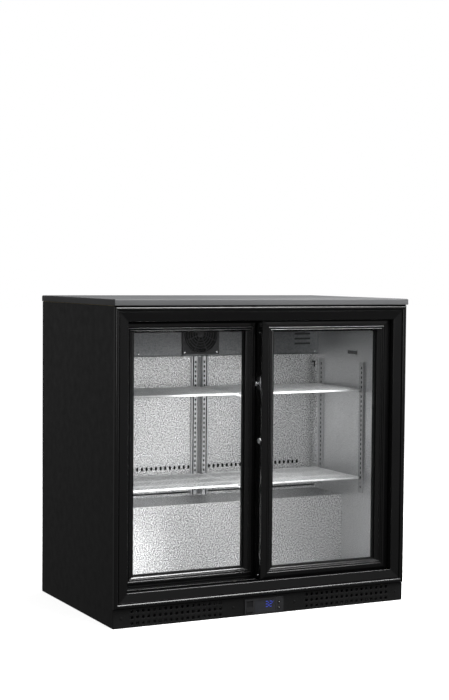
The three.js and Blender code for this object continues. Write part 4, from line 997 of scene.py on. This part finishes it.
# ------------------------------------------------------------------ what stays from CAD
CAD_LOOKS = {
    "side_panel_left": ("panel", 0.6), "side_panel_right": ("panel", 0.6), "back_panel": ("panel", 0.0),
    "base_tray": ("galv", 0.4), "insulation_foam": ("foam", 0.0),
    "liner_left": ("wall", 0.0), "liner_right": ("wall", 0.0), "liner_ceiling": ("liner", 0.0),
    "liner_floor_and_back": ("liner", 0.8), "machine_bay_liner": ("galv", 0.0),
    "bottom_track": ("track", 0.4), "top_track": ("track", 0.3),
    "door_left_glass_outer": ("glass", 0.0), "door_left_glass_inner": ("glass", 0.0),
    "door_right_glass_outer": ("glass", 0.0), "door_right_glass_inner": ("glass", 0.0),
    "door_left_roller_left": ("white", 0.2), "door_left_roller_right": ("white", 0.2),
    "door_right_roller_left": ("white", 0.2), "door_right_roller_right": ("white", 0.2),
    "lock_bolt": ("chrome", 0.4),
    "controller_housing": ("grey", 0.8), "controller_display": ("window", 0.2),
    "button_up": ("black", 0.5), "button_down": ("black", 0.5), "light_switch_rocker": ("black", 0.6),
    "shelf_bracket_lower": ("smooth", 0.4), "shelf_bracket_upper": ("smooth", 0.4),
    "evaporator_fan_frame": ("black", 0.5), "evaporator_fan_rotor": ("black", 0.4),
    "evaporator_coil": ("galv", 0.0), "light_bar": ("lamp", 0.8),
    "compressor": ("compressor", 1.2), "condenser": ("galv", 0.0),
    "condenser_fan_shroud": ("black", 0.6), "condenser_fan_rotor": ("grey", 0.5),
    "rear_grille": ("panel", 0.0), "power_cord_gland": ("black", 0.5),
}


def dress_cad():
    for name, (look, bevel) in CAD_LOOKS.items():
        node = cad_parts[name]
        node.data.materials.clear()
        node.data.materials.append(M[look])
        if bevel:
            add_bevel(node, bevel)


# ------------------------------------------------------------------ camera, floor and light
def build_camera():
    data = bpy.data.cameras.new("camera")
    data.sensor_fit = "AUTO"
    data.sensor_width = 36.0
    data.lens = CAMERA_LENS
    data.clip_start, data.clip_end = 0.05, 100.0
    camera = bpy.data.objects.new("camera", data)
    bpy.context.scene.collection.objects.link(camera)
    yaw, pitch, roll = CAMERA_YAW, CAMERA_PITCH, CAMERA_ROLL
    forward = Vector((math.sin(yaw) * math.cos(pitch), math.cos(yaw) * math.cos(pitch), -math.sin(pitch)))
    right = Vector((math.cos(yaw), -math.sin(yaw), 0.0))
    up = right.cross(forward)
    r2 = right * math.cos(roll) + up * math.sin(roll)
    u2 = -right * math.sin(roll) + up * math.cos(roll)
    rotation = Matrix((r2, u2, -forward)).transposed().to_4x4()
    camera.matrix_world = Matrix.Translation(CAMERA_PLACE) @ rotation
    bpy.context.scene.camera = camera


def area(name, location, target, size, radiance):
    """A soft box of the given brightness, seen only by what it lights."""
    data = bpy.data.lights.new(name, "AREA")
    data.shape = "RECTANGLE"
    data.size, data.size_y = size
    data.energy = math.pi * size[0] * size[1] * radiance
    light = bpy.data.objects.new(name, data)
    light.location = location
    direction = Vector(target) - Vector(location)
    light.rotation_euler = direction.to_track_quat("-Z", "Y").to_euler()
    light.visible_camera = False
    bpy.context.scene.collection.objects.link(light)
    return light


def build_floor():
    bm = bmesh.new()
    bmesh.ops.create_grid(bm, x_segments=2, y_segments=2, size=30.0)
    mesh = bpy.data.meshes.new("studio_floor")
    bm.to_mesh(mesh)
    bm.free()
    floor = bpy.data.objects.new("studio_floor", mesh)
    floor.location = (0, 0, -0.0005)
    bpy.context.scene.collection.objects.link(floor)
    mat, tree, shader = new_material("floor_paper", (0.93, 0.93, 0.93), 0.9, spec=0.1)
    tone = noise(tree, local_coords(tree), 3.0, 3.0)
    tree.links.new(ramp(tree, tone, [(0.3, 0.92), (0.7, 0.95)]), shader.inputs["Base Color"])
    shader.inputs["Emission Color"].default_value = (1.0, 1.0, 1.0, 1.0)
    shader.inputs["Emission Strength"].default_value = FLOOR_GLOW
    mesh.materials.append(mat)
    floor.visible_glossy = False
    floor.visible_diffuse = False


def build_world():
    """White behind the cabinet; the room that it reflects is dim, and dimmer towards the floor."""
    world = bpy.data.worlds.new("studio")
    bpy.context.scene.world = world
    world.use_nodes = True
    tree = world.node_tree
    background = tree.nodes["Background"]
    background.inputs["Color"].default_value = (1.0, 1.0, 1.0, 1.0)
    place = tree.nodes.new("ShaderNodeTexCoord")
    split = tree.nodes.new("ShaderNodeSeparateXYZ")
    tree.links.new(place.outputs["Generated"], split.inputs["Vector"])
    level = tree.nodes.new("ShaderNodeMapRange")
    level.inputs["From Min"].default_value = -0.25
    level.inputs["From Max"].default_value = 0.1
    level.inputs["To Min"].default_value = ROOM_LOW
    level.inputs["To Max"].default_value = ROOM_HIGH
    tree.links.new(split.outputs["Z"], level.inputs["Value"])
    path = tree.nodes.new("ShaderNodeLightPath")
    choose = tree.nodes.new("ShaderNodeMix")
    choose.data_type = "FLOAT"
    choose.inputs["B"].default_value = 1.0
    tree.links.new(path.outputs["Is Camera Ray"], choose.inputs["Factor"])
    tree.links.new(level.outputs["Result"], choose.inputs["A"])
    tree.links.new(choose.outputs["Result"], background.inputs["Strength"])


def build_lights():
    for name, place, target, size, radiance in STUDIO_LIGHTS:
        area(name, place, target, size, radiance)
    for name, x0, x1, z0, z1, radiance in INSIDE_LIGHTS:
        middle = ((x0 + x1) / 2, LINER_LIGHT_Y, (z0 + z1) / 2)
        area(name, middle, (middle[0], 0.5, middle[2]), (x1 - x0, z1 - z0), radiance)
    bpy.context.scene.view_settings.view_transform = "Standard"


build_camera()
build_front_frame()
build_worktop()
build_gap_shade_sheets()
build_kick_panel()
build_controller()
build_lock_and_knob()
build_door("door_left", DOOR_LEFT_X, REAR_DOOR_Y)
build_door("door_right", DOOR_RIGHT_X, FRONT_DOOR_Y)
build_shelves()
build_supports()
build_air_duct()
build_evaporator_cover()
build_louvre_blades()
build_fan_guard()
build_probe_clip()
build_wall_vent()
build_lamp_holder()
build_rear_screws()
build_pipework()
dress_cad()
build_floor()
build_world()
build_lights()
